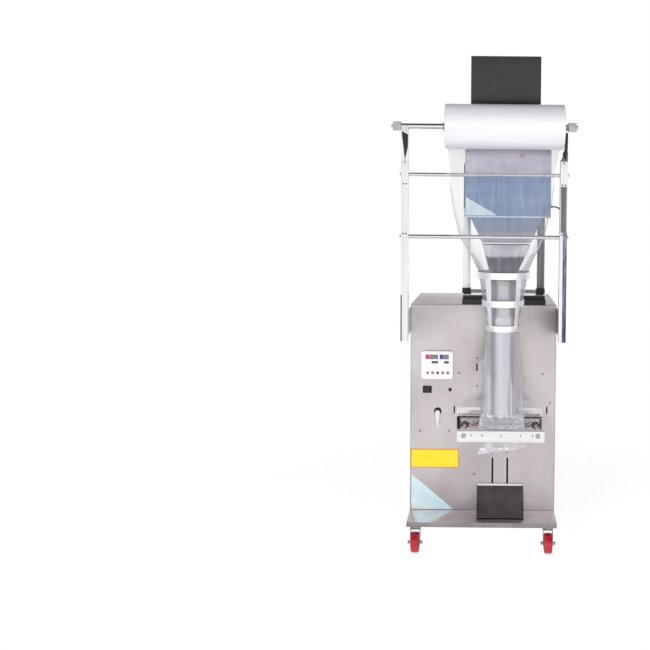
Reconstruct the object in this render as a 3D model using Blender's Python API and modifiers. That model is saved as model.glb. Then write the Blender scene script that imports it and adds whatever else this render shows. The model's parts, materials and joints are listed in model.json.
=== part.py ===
"""Vertical form fill sealer on casters, in metres, +Z up, +X to its right, facing -Y.

The origin is on the floor below the middle of the machine's overall box.
A film web comes off a roll held by two arms, passes two guide rollers, is gathered into a tube by
a cage of rings round a forming tube, is seamed up its back, and is closed and cut by two jaws.
A hopper and a weigher above the forming tube drop the product through it.
"""

from math import acos, cos, pi, radians, sin, sqrt, tan

import bmesh
import bpy
from mathutils import Matrix, Vector

# ---------------------------------------------------------------- driving dimensions
FIT = 0.0003                # gap between pieces that touch
SHEET = 0.002               # sheet metal of the cabinet

# the cabinet stands on a base plate; FRONT is the plane of its front panel
FRONT = -0.0875
CABINET_HALF = 0.280
CABINET_DEPTH = 0.445
CABINET_TOP = 0.923
PLATE_LOW, PLATE_TOP = 0.105, 0.123
PLATE_OVERHANG = 0.134

# casters
WHEEL_RADIUS = 0.0375
WHEEL_WIDTH = 0.030
CASTER_X = 0.2495
CASTER_FRONT = FRONT - 0.084
CASTER_REAR = FRONT + 0.395
CASTER_TRAIL = 0.022
CASTER_PAD = 0.060

# the line that the film tube hangs on
LINE_X = 0.072
LINE_Y = FRONT - 0.115
TUBE_RADIUS = 0.052
TUBE_WALL = 0.0015
TUBE_LOW, TUBE_TOP = 0.528, 1.035
FILM = 0.0008
FILM_TUBE_HALF_DEPTH = 0.0545

# arms, roll and guide rollers
ARM_Y = FRONT - 0.200
ARM_IN, ARM_OUT = 0.270, 0.296
ARM_LOW, ARM_TOP = 0.812, 1.5815
ROLL_RADIUS = 0.080
ROLL_LEFT, ROLL_RIGHT = -0.140, 0.281
SPINDLE_Z = 1.581
SPINDLE_RADIUS = 0.010
SPINDLE_HALF = 0.333
ROLLER_UPPER_Z, ROLLER_UPPER_RADIUS = 1.410, 0.0065
ROLLER_LOWER_Z, ROLLER_LOWER_RADIUS = 1.189, 0.0070
ROLLER_LOWER_Y = ARM_Y - 0.003

# jaws close on the plane JAW_Y, each by JAW_TRAVEL
JAW_Y = FRONT - 0.1025
JAW_TRAVEL = 0.066
JAW_GAP_HALF = 0.0675
JAW_LEFT, JAW_RIGHT = -0.092, 0.226
JAW_LOW, JAW_TOP = 0.445, 0.486
ROD_Z = 0.4655
ROD_LEFT, ROD_RIGHT = -0.068, 0.202
ROD_RADIUS = 0.008

# gears share one module; a 16 tooth gear rolls on a 16 mm pitch radius
MODULE = 0.002
TEETH = 16
PITCH_RADIUS = MODULE * TEETH / 2
PRESSURE_ANGLE = radians(20)
TOOTH_SHARE = 0.43          # part of a pitch that a tooth fills, which leaves backlash
PINION_Y = FRONT + 0.105

# weigher
WEIGHER_LEFT, WEIGHER_RIGHT = -0.0715, 0.243
WEIGHER_FRONT, WEIGHER_BACK = FRONT - 0.135, FRONT + 0.115
WEIGHER_LOW, WEIGHER_TOP = 1.258, 1.506
HOPPER_TOP = 1.850

# two cables from glands on the weigher's side to glands on the cabinet's side
UPPER_GLAND_Z, LOWER_GLAND_Z = 1.300, 0.880
CABLE_STARTS = (FRONT - 0.104, FRONT - 0.088)
CABLE_YS = (FRONT + 0.090, FRONT + 0.108)
CABLE_RADIUS = 0.00225

# seal bars, pull rollers and film seam behind the forming tube
PULL_Z = 0.575
PULL_RADIUS = 0.0148
SEAL_Z = 0.680

# ---------------------------------------------------------------- scene and helpers
for old in list(bpy.data.objects):
    bpy.data.objects.remove(old, do_unlink=True)

PARTS = bpy.data.collections.new("vertical_form_fill_sealer")
CUTTERS = bpy.data.collections.new("cutters")
bpy.context.scene.collection.children.link(PARTS)
bpy.context.scene.collection.children.link(CUTTERS)


def material(name, colour, roughness, metallic):
    made = bpy.data.materials.new(name)
    made.use_nodes = True
    shader = made.node_tree.nodes["Principled BSDF"]
    shader.inputs["Base Color"].default_value = (*colour, 1.0)
    shader.inputs["Roughness"].default_value = roughness
    shader.inputs["Metallic"].default_value = metallic
    return made


STAINLESS = material("stainless_sheet", (0.58, 0.55, 0.54), 0.38, 1.0)
BRIGHT = material("bright_aluminium", (0.80, 0.80, 0.81), 0.30, 1.0)
CHROME = material("chrome", (0.62, 0.62, 0.64), 0.12, 1.0)
ZINC = material("zinc_plate", (0.60, 0.60, 0.60), 0.35, 1.0)
DARK = material("dark_gloss_sheet", (0.035, 0.030, 0.028), 0.25, 0.4)
BLUE = material("blue_painted_sheet", (0.13, 0.22, 0.36), 0.35, 0.0)
BLACK = material("black_plastic", (0.015, 0.015, 0.015), 0.45, 0.0)
WHITE = material("white_plastic", (0.78, 0.78, 0.80), 0.35, 0.0)
RED = material("red_polyurethane", (0.55, 0.015, 0.03), 0.35, 0.0)
BUTTON = material("button_plastic", (0.42, 0.20, 0.19), 0.40, 0.0)
CLEAR = material("clear_film", (0.85, 0.85, 0.87), 0.15, 0.0)
ROLL = material("wound_film", (0.82, 0.82, 0.85), 0.40, 0.0)
RUBBER = material("black_cable", (0.02, 0.02, 0.02), 0.55, 0.0)


def keep(obj, finish=None):
    """Put a finished piece in the parts collection, or one without a finish among the cutters."""
    if finish is None:
        CUTTERS.objects.link(obj)
        obj.hide_render = True
        obj.display_type = "WIRE"
    else:
        PARTS.objects.link(obj)
        obj.data.materials.append(finish)
    return obj


def from_bmesh(name, shape, finish=None):
    data = bpy.data.meshes.new(name)
    shape.to_mesh(data)
    shape.free()
    return keep(bpy.data.objects.new(name, data), finish)


def box(name, low, high, finish=None):
    shape = bmesh.new()
    bmesh.ops.create_cube(shape, size=1.0)
    low, high = Vector(low), Vector(high)
    size = high - low
    bmesh.ops.scale(shape, vec=size, verts=shape.verts)
    bmesh.ops.translate(shape, vec=(low + high) / 2, verts=shape.verts)
    return from_bmesh(name, shape, finish)


def rod(name, start, end, radius, finish=None, sides=16):
    start, end = Vector(start), Vector(end)
    shape = bmesh.new()
    bmesh.ops.create_cone(
        shape, cap_ends=True, segments=sides, radius1=radius, radius2=radius, depth=(end - start).length
    )
    turn = Vector((0, 0, 1)).rotation_difference(end - start).to_matrix().to_4x4()
    bmesh.ops.transform(shape, matrix=Matrix.Translation((start + end) / 2) @ turn, verts=shape.verts)
    return from_bmesh(name, shape, finish)


def turned(name, profile, centre, axis, finish=None, steps=24):
    """Turn a profile of (radius, height) points about an axis through centre.

    The profile runs from the top of the axis down its outer side, back to the axis or to its start.
    """
    data = bpy.data.meshes.new(name)
    count = len(profile)
    closed = profile[0][0] > 0
    edges = [(i, i + 1) for i in range(count - 1)]
    if closed:
        edges.append((count - 1, 0))
    data.from_pydata([(radius, 0, height) for radius, height in profile], edges, [])
    made = keep(bpy.data.objects.new(name, data), finish)
    screw = made.modifiers.new("turn", "SCREW")
    screw.steps = screw.render_steps = steps
    screw.use_merge_vertices = True
    screw.merge_threshold = 0.0001
    screw.use_smooth_shade = False
    made.location = centre
    made.rotation_mode = "QUATERNION"
    made.rotation_quaternion = Vector((0, 0, 1)).rotation_difference(Vector(axis))
    return made


def outline_solid(name, points, thickness, place, finish=None):
    """Extrude a flat closed outline by thickness about its own plane and place it."""
    curve = bpy.data.curves.new(name, "CURVE")
    curve.dimensions = "2D"
    curve.fill_mode = "BOTH"
    curve.extrude = thickness / 2
    spline = curve.splines.new("POLY")
    spline.points.add(len(points) - 1)
    for point, (across, up) in zip(spline.points, points):
        point.co = (across, up, 0, 1)
    spline.use_cyclic_u = True
    flat = bpy.data.objects.new(name, curve)
    CUTTERS.objects.link(flat)
    bpy.context.view_layer.update()
    data = bpy.data.meshes.new_from_object(flat.evaluated_get(bpy.context.evaluated_depsgraph_get()))
    bpy.data.objects.remove(flat)
    shape = bmesh.new()
    shape.from_mesh(data)
    bpy.data.meshes.remove(data)
    bmesh.ops.remove_doubles(shape, verts=shape.verts, dist=0.00001)
    bmesh.ops.transform(shape, matrix=place, verts=shape.verts)
    bmesh.ops.recalc_face_normals(shape, faces=shape.faces)
    return from_bmesh(name, shape, finish)


def facet(shape, a, b, c, d):
    """One facet, or two triangles on the shorter diagonal where the four corners aren't in a plane."""
    normal = (b.co - a.co).cross(d.co - a.co).normalized()
    if abs(normal.dot(c.co - a.co)) < 1e-6:
        shape.faces.new((a, b, c, d))
    elif (c.co - a.co).length < (d.co - b.co).length:
        shape.faces.new((a, b, c))
        shape.faces.new((a, c, d))
    else:
        shape.faces.new((a, b, d))
        shape.faces.new((b, c, d))


def loft(name, sections, finish=None, ring=False):
    """Skin closed loops of equal length; a ring joins the last loop to the first, others are capped."""
    shape = bmesh.new()
    loops = [[shape.verts.new(point) for point in section] for section in sections]
    pairs = list(zip(loops, loops[1:]))
    if ring:
        pairs.append((loops[-1], loops[0]))
    for lower, upper in pairs:
        for i in range(len(lower)):
            j = (i + 1) % len(lower)
            facet(shape, lower[i], lower[j], upper[j], upper[i])
    if not ring:
        shape.faces.new(loops[0])
        shape.faces.new(loops[-1])
    bmesh.ops.recalc_face_normals(shape, faces=shape.faces)
    return from_bmesh(name, shape, finish)


def combine(target, operation, *others):
    for other in others:
        step = target.modifiers.new(other.name, "BOOLEAN")
        step.operation = operation
        step.object = other
    return target


def join(target, *others):
    return combine(target, "UNION", *others)


def cut(target, *others):
    return combine(target, "DIFFERENCE", *others)


def pivot(obj, point):
    """Move a mesh object's origin to a point on its joint axis, leaving the mesh where it is."""
    point = Vector(point)
    obj.data.transform(Matrix.Translation(-point))
    obj.location = point
    return obj


def rectangle(left, right, front, back, height):
    return [(left, front, height), (right, front, height), (right, back, height), (left, back, height)]


# turns an XY outline into a YZ plate
ALONG_Y = Matrix.Rotation(pi / 2, 4, "Z") @ Matrix.Rotation(pi / 2, 4, "X")


def standing(y):
    """Placement of an XY outline as an XZ plate centred on the plane y."""
    return Matrix.Translation((0, y, 0)) @ Matrix.Rotation(pi / 2, 4, "X")


def rectangle_ring(name, levels, wall, finish=None):
    """An open-ended rectangular duct from (left, right, front, back, height) levels."""
    outer = [rectangle(*level) for level in levels]
    inner = [
        rectangle(left + wall, right - wall, front + wall, back - wall, height)
        for left, right, front, back, height in reversed(levels)
    ]
    return loft(name, outer + inner, finish, ring=True)


# ---------------------------------------------------------------- base, casters and cabinet
def base_plate():
    plate = box(
        "base_plate",
        (-CABINET_HALF, FRONT - PLATE_OVERHANG, PLATE_LOW),
        (CABINET_HALF, FRONT + CABINET_DEPTH, PLATE_TOP),
        STAINLESS,
    )
    half = CASTER_PAD / 2
    for name, x, y, _ in caster_places():
        pad = box(f"{name}_pad", (x - half, y - half, 0.102), (x + half, y + half, 0.107))
        join(plate, pad)


def caster_places():
    """Name, swivel axis and the side that each wheel trails to."""
    return [
        ("caster_front_left", -CASTER_X, CASTER_FRONT, -1),
        ("caster_front_right", CASTER_X, CASTER_FRONT, -1),
        ("caster_rear_left", -CASTER_X, CASTER_REAR, 1),
        ("caster_rear_right", CASTER_X, CASTER_REAR, 1),
    ]


def caster(name, x, y, side):
    axle_y = y + side * CASTER_TRAIL
    crown_low, crown_top = 0.087, 0.090
    leg_in, leg_out = WHEEL_WIDTH / 2 + 0.0015, WHEEL_WIDTH / 2 + 0.0040
    fork = box(
        f"{name}_fork",
        (x - leg_out, y - 0.030, crown_low),
        (x + leg_out, y + 0.030, crown_top),
        ZINC,
    )
    raceway = rod(f"{name}_raceway", (x, y, crown_top - 0.001), (x, y, 0.102 - FIT), 0.022)
    join(fork, raceway)
    leg = [
        (y - 0.030, crown_top - 0.0005),
        (axle_y - 0.008, WHEEL_RADIUS - 0.008),
        (axle_y + 0.008, WHEEL_RADIUS - 0.008),
        (y + 0.030, crown_top - 0.0005),
    ]
    for way in (-1, 1):
        middle = x + way * (leg_in + leg_out) / 2
        place = Matrix.Translation((middle, 0, 0)) @ ALONG_Y
        side_plate = outline_solid(f"{name}_leg_{way}", leg, leg_out - leg_in, place)
        nut = rod(
            f"{name}_nut_{way}",
            (x + way * (leg_out - 0.0005), axle_y, WHEEL_RADIUS),
            (x + way * (leg_out + 0.009), axle_y, WHEEL_RADIUS),
            0.0065,
            sides=6,
        )
        join(fork, side_plate, nut)
    axle_half = leg_in + 0.001
    axle = rod(
        f"{name}_axle",
        (x - axle_half, axle_y, WHEEL_RADIUS),
        (x + axle_half, axle_y, WHEEL_RADIUS),
        0.004,
        sides=16,
    )
    join(fork, axle)
    pivot(fork, (x, y, 0))
    half = WHEEL_WIDTH / 2
    wheel_profile = [
        (0.0042, half),
        (0.0345, half),
        (WHEEL_RADIUS, half - 0.004),
        (WHEEL_RADIUS, -half + 0.004),
        (0.0345, -half),
        (0.0042, -half),
    ]
    turned(f"{name}_wheel", wheel_profile, (x, axle_y, WHEEL_RADIUS), (1, 0, 0), RED, steps=20)


def cabinet_shell():
    half, top, back = CABINET_HALF, CABINET_TOP, FRONT + CABINET_DEPTH
    shell = box("cabinet_shell", (-half, FRONT, PLATE_TOP + FIT), (half, back, top), STAINLESS)
    inner = half - SHEET
    under = top - SHEET
    lip = 0.018
    recess = box("front_recess", (-inner, FRONT - 0.1, 0.05), (inner, FRONT + 0.0024, under))
    room = box("cabinet_room", (-inner, FRONT + 0.0044, 0.05), (inner, back - 0.0044, under))
    rear = box("rear_recess", (-inner, back - 0.0024, 0.05), (inner, back + 0.1, under))
    mouth = box("cabinet_mouth", (-half + lip, FRONT - 0.2, 0.04), (half - lip, back + 0.2, top - lip))
    cut(shell, recess, room, rear, mouth)
    for index, y in enumerate(CABLE_YS):
        start, end = (half - 0.001, y, LOWER_GLAND_Z), (half + 0.005, y, LOWER_GLAND_Z)
        join(shell, rod(f"lower_gland_{index}", start, end, 0.0065, sides=12))
    inlet = box("power_inlet", (half - 0.001, back - 0.090, 0.200), (half + 0.004, back - 0.060, 0.224))
    join(shell, inlet)


def front_panel():
    half = CABINET_HALF - SHEET - FIT
    panel = box(
        "front_panel",
        (-half, FRONT, PLATE_TOP + 0.0006),
        (half, FRONT + SHEET, CABINET_TOP - SHEET - FIT),
        STAINLESS,
    )
    deep = (FRONT - 0.01, FRONT + 0.01)
    windows = {
        "jaw_window": (-0.099, 0.227, 0.436, 0.4915),
        "left_side_slot": (-0.1125, -0.1075, 0.502, 0.530),
        "right_side_slot": (0.2440, 0.2490, 0.502, 0.530),
        "rocker_window": (-0.2292, -0.2008, 0.5835, 0.6035),
        "sensor_slot": (-0.0255, -0.0225, 0.668, 0.695),
        "left_chute_slot": (CHUTE_STUDS[0] - 0.004, CHUTE_STUDS[0] + 0.004, 0.199, 0.330),
        "right_chute_slot": (CHUTE_STUDS[1] - 0.004, CHUTE_STUDS[1] + 0.004, 0.199, 0.330),
        "left_seal_slot": (LINE_X - 0.028, LINE_X - 0.001, SEAL_Z - 0.008, SEAL_Z + 0.008),
        "right_seal_slot": (LINE_X + 0.001, LINE_X + 0.028, SEAL_Z - 0.008, SEAL_Z + 0.008),
    }
    for name, (left, right, low, high) in windows.items():
        cut(panel, box(name, (left, deep[0], low), (right, deep[1], high)))
    for way in (-1, 1):
        x = LINE_X + way * PITCH_RADIUS
        hole = rod(f"shaft_hole_{way}", (x, deep[0], PULL_Z), (x, deep[1], PULL_Z), 0.0056)
        cut(panel, hole)


def rear_door():
    back = FRONT + CABINET_DEPTH
    hinge = (-0.2775, back + 0.004)
    door = box("rear_door", (-0.2770, back - 0.0020, 0.126), (0.2770, back, 0.9195), STAINLESS)
    for index, low in enumerate((0.220, 0.760)):
        high = low + 0.060
        leaf = box(f"hinge_leaf_{index}", (hinge[0], back - 0.001, low), (-0.250, back + 0.003, high))
        barrel = rod(f"hinge_barrel_{index}", (*hinge, low), (*hinge, high), 0.0035, sides=12)
        join(door, leaf, barrel)
    pull = rod("door_pull", (0.240, back - 0.001, 0.540), (0.240, back + 0.010, 0.540), 0.009)
    join(door, pull)
    for index in range(6):
        low = 0.300 + index * 0.022
        vent = box(f"vent_{index}", (-0.080, back - 0.01, low), (0.080, back + 0.01, low + 0.007))
        cut(door, vent)
    pivot(door, (*hinge, 0.540))


# ---------------------------------------------------------------- controls on the front panel
PANEL_CENTRE_X, PANEL_CENTRE_Z = -0.177, 0.690
BUTTON_X, BUTTON_Z, BUTTON_PITCH = -0.1745, 0.660, 0.0193
LATCH_X, LATCH_Z = -0.174, 0.509


def controls():
    housing = box(
        "control_panel",
        (PANEL_CENTRE_X - 0.060, FRONT - 0.012, PANEL_CENTRE_Z - 0.053),
        (PANEL_CENTRE_X + 0.060, FRONT - FIT, PANEL_CENTRE_Z + 0.053),
        WHITE,
    )
    upper = box("display_row_upper", (-0.222, FRONT - 0.02, 0.712), (-0.1318, FRONT - 0.0105, 0.731))
    lower = box("display_row_lower", (-0.1985, FRONT - 0.02, 0.6957), (-0.1318, FRONT - 0.0105, 0.7062))
    cut(housing, upper, lower)
    for index in range(5):
        x = BUTTON_X + (index - 2) * BUTTON_PITCH
        start, end = (x, FRONT - 0.02, BUTTON_Z), (x, FRONT + 0.01, BUTTON_Z)
        cut(housing, rod(f"button_hole_{index}", start, end, 0.0063))
        cap = rod(
            f"panel_button_{index + 1}",
            (x, FRONT - 0.0145, BUTTON_Z),
            (x, FRONT - 0.0030, BUTTON_Z),
            0.0060,
            BUTTON,
        )
        pivot(cap, (x, FRONT - 0.0145, BUTTON_Z))

    frame = box("rocker_frame", (-0.232, FRONT - 0.003, 0.580), (-0.198, FRONT - FIT, 0.607), BLACK)
    frame_room = box("rocker_room", (-0.2292, FRONT - 0.01, 0.5835), (-0.2008, FRONT + 0.01, 0.6035))
    cut(frame, frame_room)
    rocker_outline = [
        (-0.0124, 0.0030),
        (0, 0.0040),
        (0.0124, 0.0066),
        (0.0124, 0.0012),
        (-0.0124, 0.0012),
    ]
    rocker_place = Matrix.Translation((-0.215, FRONT, 0.5935)) @ Matrix.Rotation(pi, 4, "X")
    rocker = outline_solid("rocker_switch", rocker_outline, 0.0192, rocker_place, BLACK)
    pivot(rocker, (-0.215, FRONT - 0.0005, 0.5935))

    turned(
        "fuse_holder",
        [
            (0, 0.011),
            (0.0045, 0.011),
            (0.0050, 0.010),
            (0.0050, 0.004),
            (0.0065, 0.003),
            (0.0065, 0),
            (0, 0),
        ],
        (-0.127, FRONT - FIT, 0.593),
        (0, -1, 0),
        BLACK,
        steps=16,
    )
    turned(
        "latch_base",
        [(0, 0.006), (0.0115, 0.006), (0.0145, 0.003), (0.0145, 0), (0, 0)],
        (LATCH_X, FRONT - FIT, LATCH_Z),
        (0, -1, 0),
        BLACK,
        steps=24,
    )
    blade = [
        (-0.0095, -0.002),
        (-0.004, -0.061),
        (0.004, -0.061),
        (0.0095, -0.002),
        (0.006, 0.007),
        (-0.006, 0.007),
    ]
    lever_place = Matrix.Translation((LATCH_X, 0, LATCH_Z)) @ standing(FRONT - 0.0140)
    lever = outline_solid("latch_lever", blade, 0.005, lever_place, CHROME)
    start, end = (LATCH_X, FRONT - 0.0130, LATCH_Z), (LATCH_X, FRONT - 0.0066, LATCH_Z)
    join(lever, rod("latch_boss", start, end, 0.0060))
    pivot(lever, (LATCH_X, FRONT - 0.0140, LATCH_Z))


# ---------------------------------------------------------------- gears
def involute(angle):
    return tan(angle) - angle


def gear_outline(offset):
    """Tooth outline of the shared gear; offset turns it by a part of one tooth."""
    base = PITCH_RADIUS * cos(PRESSURE_ANGLE)
    root, tip = PITCH_RADIUS - 1.25 * MODULE, PITCH_RADIUS + 0.9 * MODULE
    points = []
    for tooth in range(TEETH):
        middle = 2 * pi * (tooth + offset) / TEETH
        flank = []
        for radius in (root, PITCH_RADIUS, tip):
            slope = acos(min(1.0, base / max(radius, base)))
            spread = pi * TOOTH_SHARE / TEETH + involute(PRESSURE_ANGLE) - involute(slope)
            flank.append((radius, spread))
        for radius, spread in flank:
            points.append((radius * cos(middle - spread), radius * sin(middle - spread)))
        for radius, spread in reversed(flank):
            points.append((radius * cos(middle + spread), radius * sin(middle + spread)))
    return points


def rack_outline(start, end, phase):
    """Rack teeth pointing to -X from the line x = 0, with a gap centred on y = phase."""
    pitch = pi * MODULE
    height, depth = 0.9 * MODULE, 1.25 * MODULE
    slope = tan(PRESSURE_ANGLE)
    half = pitch * TOOTH_SHARE / 2
    points = [(0.008, start), (0.008, end), (depth, end)]
    first = int((start - phase) / pitch) - 1
    last = int((end - phase) / pitch) + 1
    centres = [phase + (index + 0.5) * pitch for index in range(first, last + 1)]
    usable = [y for y in centres if start + pitch / 2 < y < end - pitch / 2]
    for y in reversed(usable):
        points += [
            (depth, y + half + depth * slope),
            (-height, y + half - height * slope),
            (-height, y - half + height * slope),
            (depth, y - half - depth * slope),
        ]
    points.append((depth, start))
    return points


# ---------------------------------------------------------------- jaws and their drive
def jaws():
    face_front = JAW_Y - JAW_GAP_HALF
    bar = box(
        "front_jaw",
        (JAW_LEFT, face_front - 0.030, JAW_LOW),
        (JAW_RIGHT, face_front, JAW_TOP),
        BRIGHT,
    )
    pivot(bar, (LINE_X, face_front, ROD_Z))

    back = FRONT + 0.206
    yoke = box(
        "jaw_yoke",
        (ROD_LEFT - 0.014, back - 0.016, ROD_Z - 0.012),
        (ROD_RIGHT + 0.014, back, ROD_Z + 0.012),
        ZINC,
    )
    for name, x in (("left", ROD_LEFT), ("right", ROD_RIGHT)):
        start, end = (x, face_front + FIT, ROD_Z), (x, back - 0.004, ROD_Z)
        join(yoke, rod(f"{name}_guide_rod", start, end, ROD_RADIUS, sides=12))
    rack_start, rack_end = PINION_Y - JAW_TRAVEL - 0.010, back - 0.004
    rack = outline_solid(
        "front_rack",
        rack_outline(rack_start, rack_end, PINION_Y),
        0.010,
        Matrix.Translation((LINE_X + PITCH_RADIUS, 0, ROD_Z)),
    )
    join(yoke, rack)
    pivot(yoke, (LINE_X, back, ROD_Z))

    face_rear = JAW_Y + JAW_GAP_HALF
    rear = box("rear_jaw", (-0.088, face_rear, JAW_LOW), (0.222, face_rear + 0.028, 0.489), ZINC)
    for name, x in (("left", ROD_LEFT), ("right", ROD_RIGHT)):
        start, end = (x, face_rear - 0.001, ROD_Z), (x, face_rear + 0.034, ROD_Z)
        join(rear, rod(f"{name}_bush", start, end, 0.012, sides=12))
    for name, x in (("left", ROD_LEFT), ("right", ROD_RIGHT)):
        start, end = (x, face_rear - 0.05, ROD_Z), (x, face_rear + 0.08, ROD_Z)
        cut(rear, rod(f"{name}_bore", start, end, ROD_RADIUS + 0.0004, sides=12))
    push = box(
        "rear_push_bar",
        (LINE_X - PITCH_RADIUS - 0.014, face_rear + 0.020, ROD_Z - 0.005),
        (LINE_X - PITCH_RADIUS - 0.0078, PINION_Y + JAW_TRAVEL + 0.012, ROD_Z + 0.005),
    )
    rear_rack = outline_solid(
        "rear_rack",
        rack_outline(PINION_Y - JAW_TRAVEL - 0.010, PINION_Y + 0.012, PINION_Y),
        0.0098,
        Matrix.Translation((LINE_X - PITCH_RADIUS, 2 * PINION_Y, ROD_Z)) @ Matrix.Rotation(pi, 4, "Z"),
    )
    join(rear, push, rear_rack)
    pivot(rear, (LINE_X, face_rear, ROD_Z))

    pinion = outline_solid(
        "jaw_pinion", gear_outline(0), 0.0096, Matrix.Translation((LINE_X, PINION_Y, ROD_Z)), ZINC
    )
    shaft_low, shaft_high = (LINE_X, PINION_Y, ROD_Z - 0.030), (LINE_X, PINION_Y, ROD_Z + 0.008)
    join(pinion, rod("pinion_shaft", shaft_low, shaft_high, 0.006))
    pivot(pinion, (LINE_X, PINION_Y, ROD_Z))
    motor_low, motor_high = (LINE_X, PINION_Y, 0.300), (LINE_X, PINION_Y, ROD_Z - 0.018)
    motor = rod("jaw_motor", motor_low, motor_high, 0.035, ZINC, sides=24)
    socket = rod("motor_socket", (LINE_X, PINION_Y, ROD_Z - 0.032), (LINE_X, PINION_Y, ROD_Z), 0.0064)
    shelf = box(
        "motor_shelf",
        (LINE_X - 0.060, PINION_Y - 0.060, 0.296),
        (LINE_X + 0.060, PINION_Y + 0.060, 0.302),
    )
    pillar = box(
        "motor_pillar",
        (LINE_X - 0.030, PINION_Y - 0.030, PLATE_TOP + FIT),
        (LINE_X + 0.030, PINION_Y + 0.030, 0.298),
    )
    join(motor, shelf, pillar)
    cut(motor, socket)


# ---------------------------------------------------------------- back seam: seal bars and pull rollers
def seam_drive():
    for name, way in (("left", -1), ("right", 1)):
        near, far = LINE_X + way * 0.0105, LINE_X + way * 0.0250
        low_x, high_x = min(near, far), max(near, far)
        bar = box(
            f"seal_bar_{name}",
            (low_x, FRONT - 0.056, SEAL_Z - 0.075),
            (high_x, FRONT - 0.028, SEAL_Z + 0.075),
            BRIGHT,
        )
        middle = (near + far) / 2
        stem = box(
            f"seal_stem_{name}",
            (middle - 0.005, FRONT - 0.030, SEAL_Z - 0.006),
            (middle + 0.005, FRONT + 0.060, SEAL_Z + 0.006),
        )
        join(bar, stem)
        pivot(bar, (middle, FRONT - 0.042, SEAL_Z))

        x = LINE_X + way * PITCH_RADIUS
        wheel = turned(
            f"pull_roller_{name}",
            [
                (0, 0.140),
                (0.0050, 0.140),
                (0.0050, 0.028),
                (PULL_RADIUS, 0.028),
                (PULL_RADIUS, 0),
                (0, 0),
            ],
            (x, FRONT - 0.054, PULL_Z),
            (0, 1, 0),
            BLACK,
            steps=16,
        )
        gear = outline_solid(
            f"pull_gear_{name}",
            gear_outline(0 if way < 0 else 0.5),
            0.010,
            Matrix.Translation((x, FRONT + 0.030, PULL_Z)) @ Matrix.Rotation(pi / 2, 4, "X"),
        )
        join(wheel, gear)
    motor = rod(
        "pull_motor",
        (LINE_X - PITCH_RADIUS, FRONT + 0.062, PULL_Z),
        (LINE_X - PITCH_RADIUS, FRONT + 0.150, PULL_Z),
        0.030,
        ZINC,
    )
    socket = rod(
        "pull_motor_socket",
        (LINE_X - PITCH_RADIUS, FRONT + 0.05, PULL_Z),
        (LINE_X - PITCH_RADIUS, FRONT + 0.0875, PULL_Z),
        0.0056,
        sides=16,
    )
    right_room = rod(
        "pull_motor_relief",
        (LINE_X + PITCH_RADIUS, FRONT + 0.05, PULL_Z),
        (LINE_X + PITCH_RADIUS, FRONT + 0.0875, PULL_Z),
        0.0056,
        sides=16,
    )
    cut(motor, socket, right_room)


# ---------------------------------------------------------------- forming tube and its cage
RINGS = ((1.036, 1.060, 0.098), (0.933, 0.957, 0.079), (0.842, 0.864, 0.062))
RING_NAMES = ("cage_ring_upper", "former_cage", "cage_ring_lower")
RING_WALL, RING_STEPS = 0.0025, 24
STRAP_THICKNESS = 0.0012


def strap_section(radius, offset, width, height, side, gap):
    """A flat strap's section a gap inside one ring; a negative width puts it on the back half."""
    depth = sqrt(radius * radius - offset * offset)
    outward = Vector((side * offset, -depth if width > 0 else depth, 0)).normalized()
    along = Vector((-outward.y, outward.x, 0))
    half = abs(width) / 2
    centre = Vector((LINE_X, LINE_Y, height))
    flat_radius = (radius - RING_WALL) * cos(pi / RING_STEPS)
    outer = sqrt((flat_radius - gap) ** 2 - half * half)
    inner = outer - STRAP_THICKNESS
    return [
        centre + outward * inner - along * half,
        centre + outward * outer - along * half,
        centre + outward * outer + along * half,
        centre + outward * inner + along * half,
    ]


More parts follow.
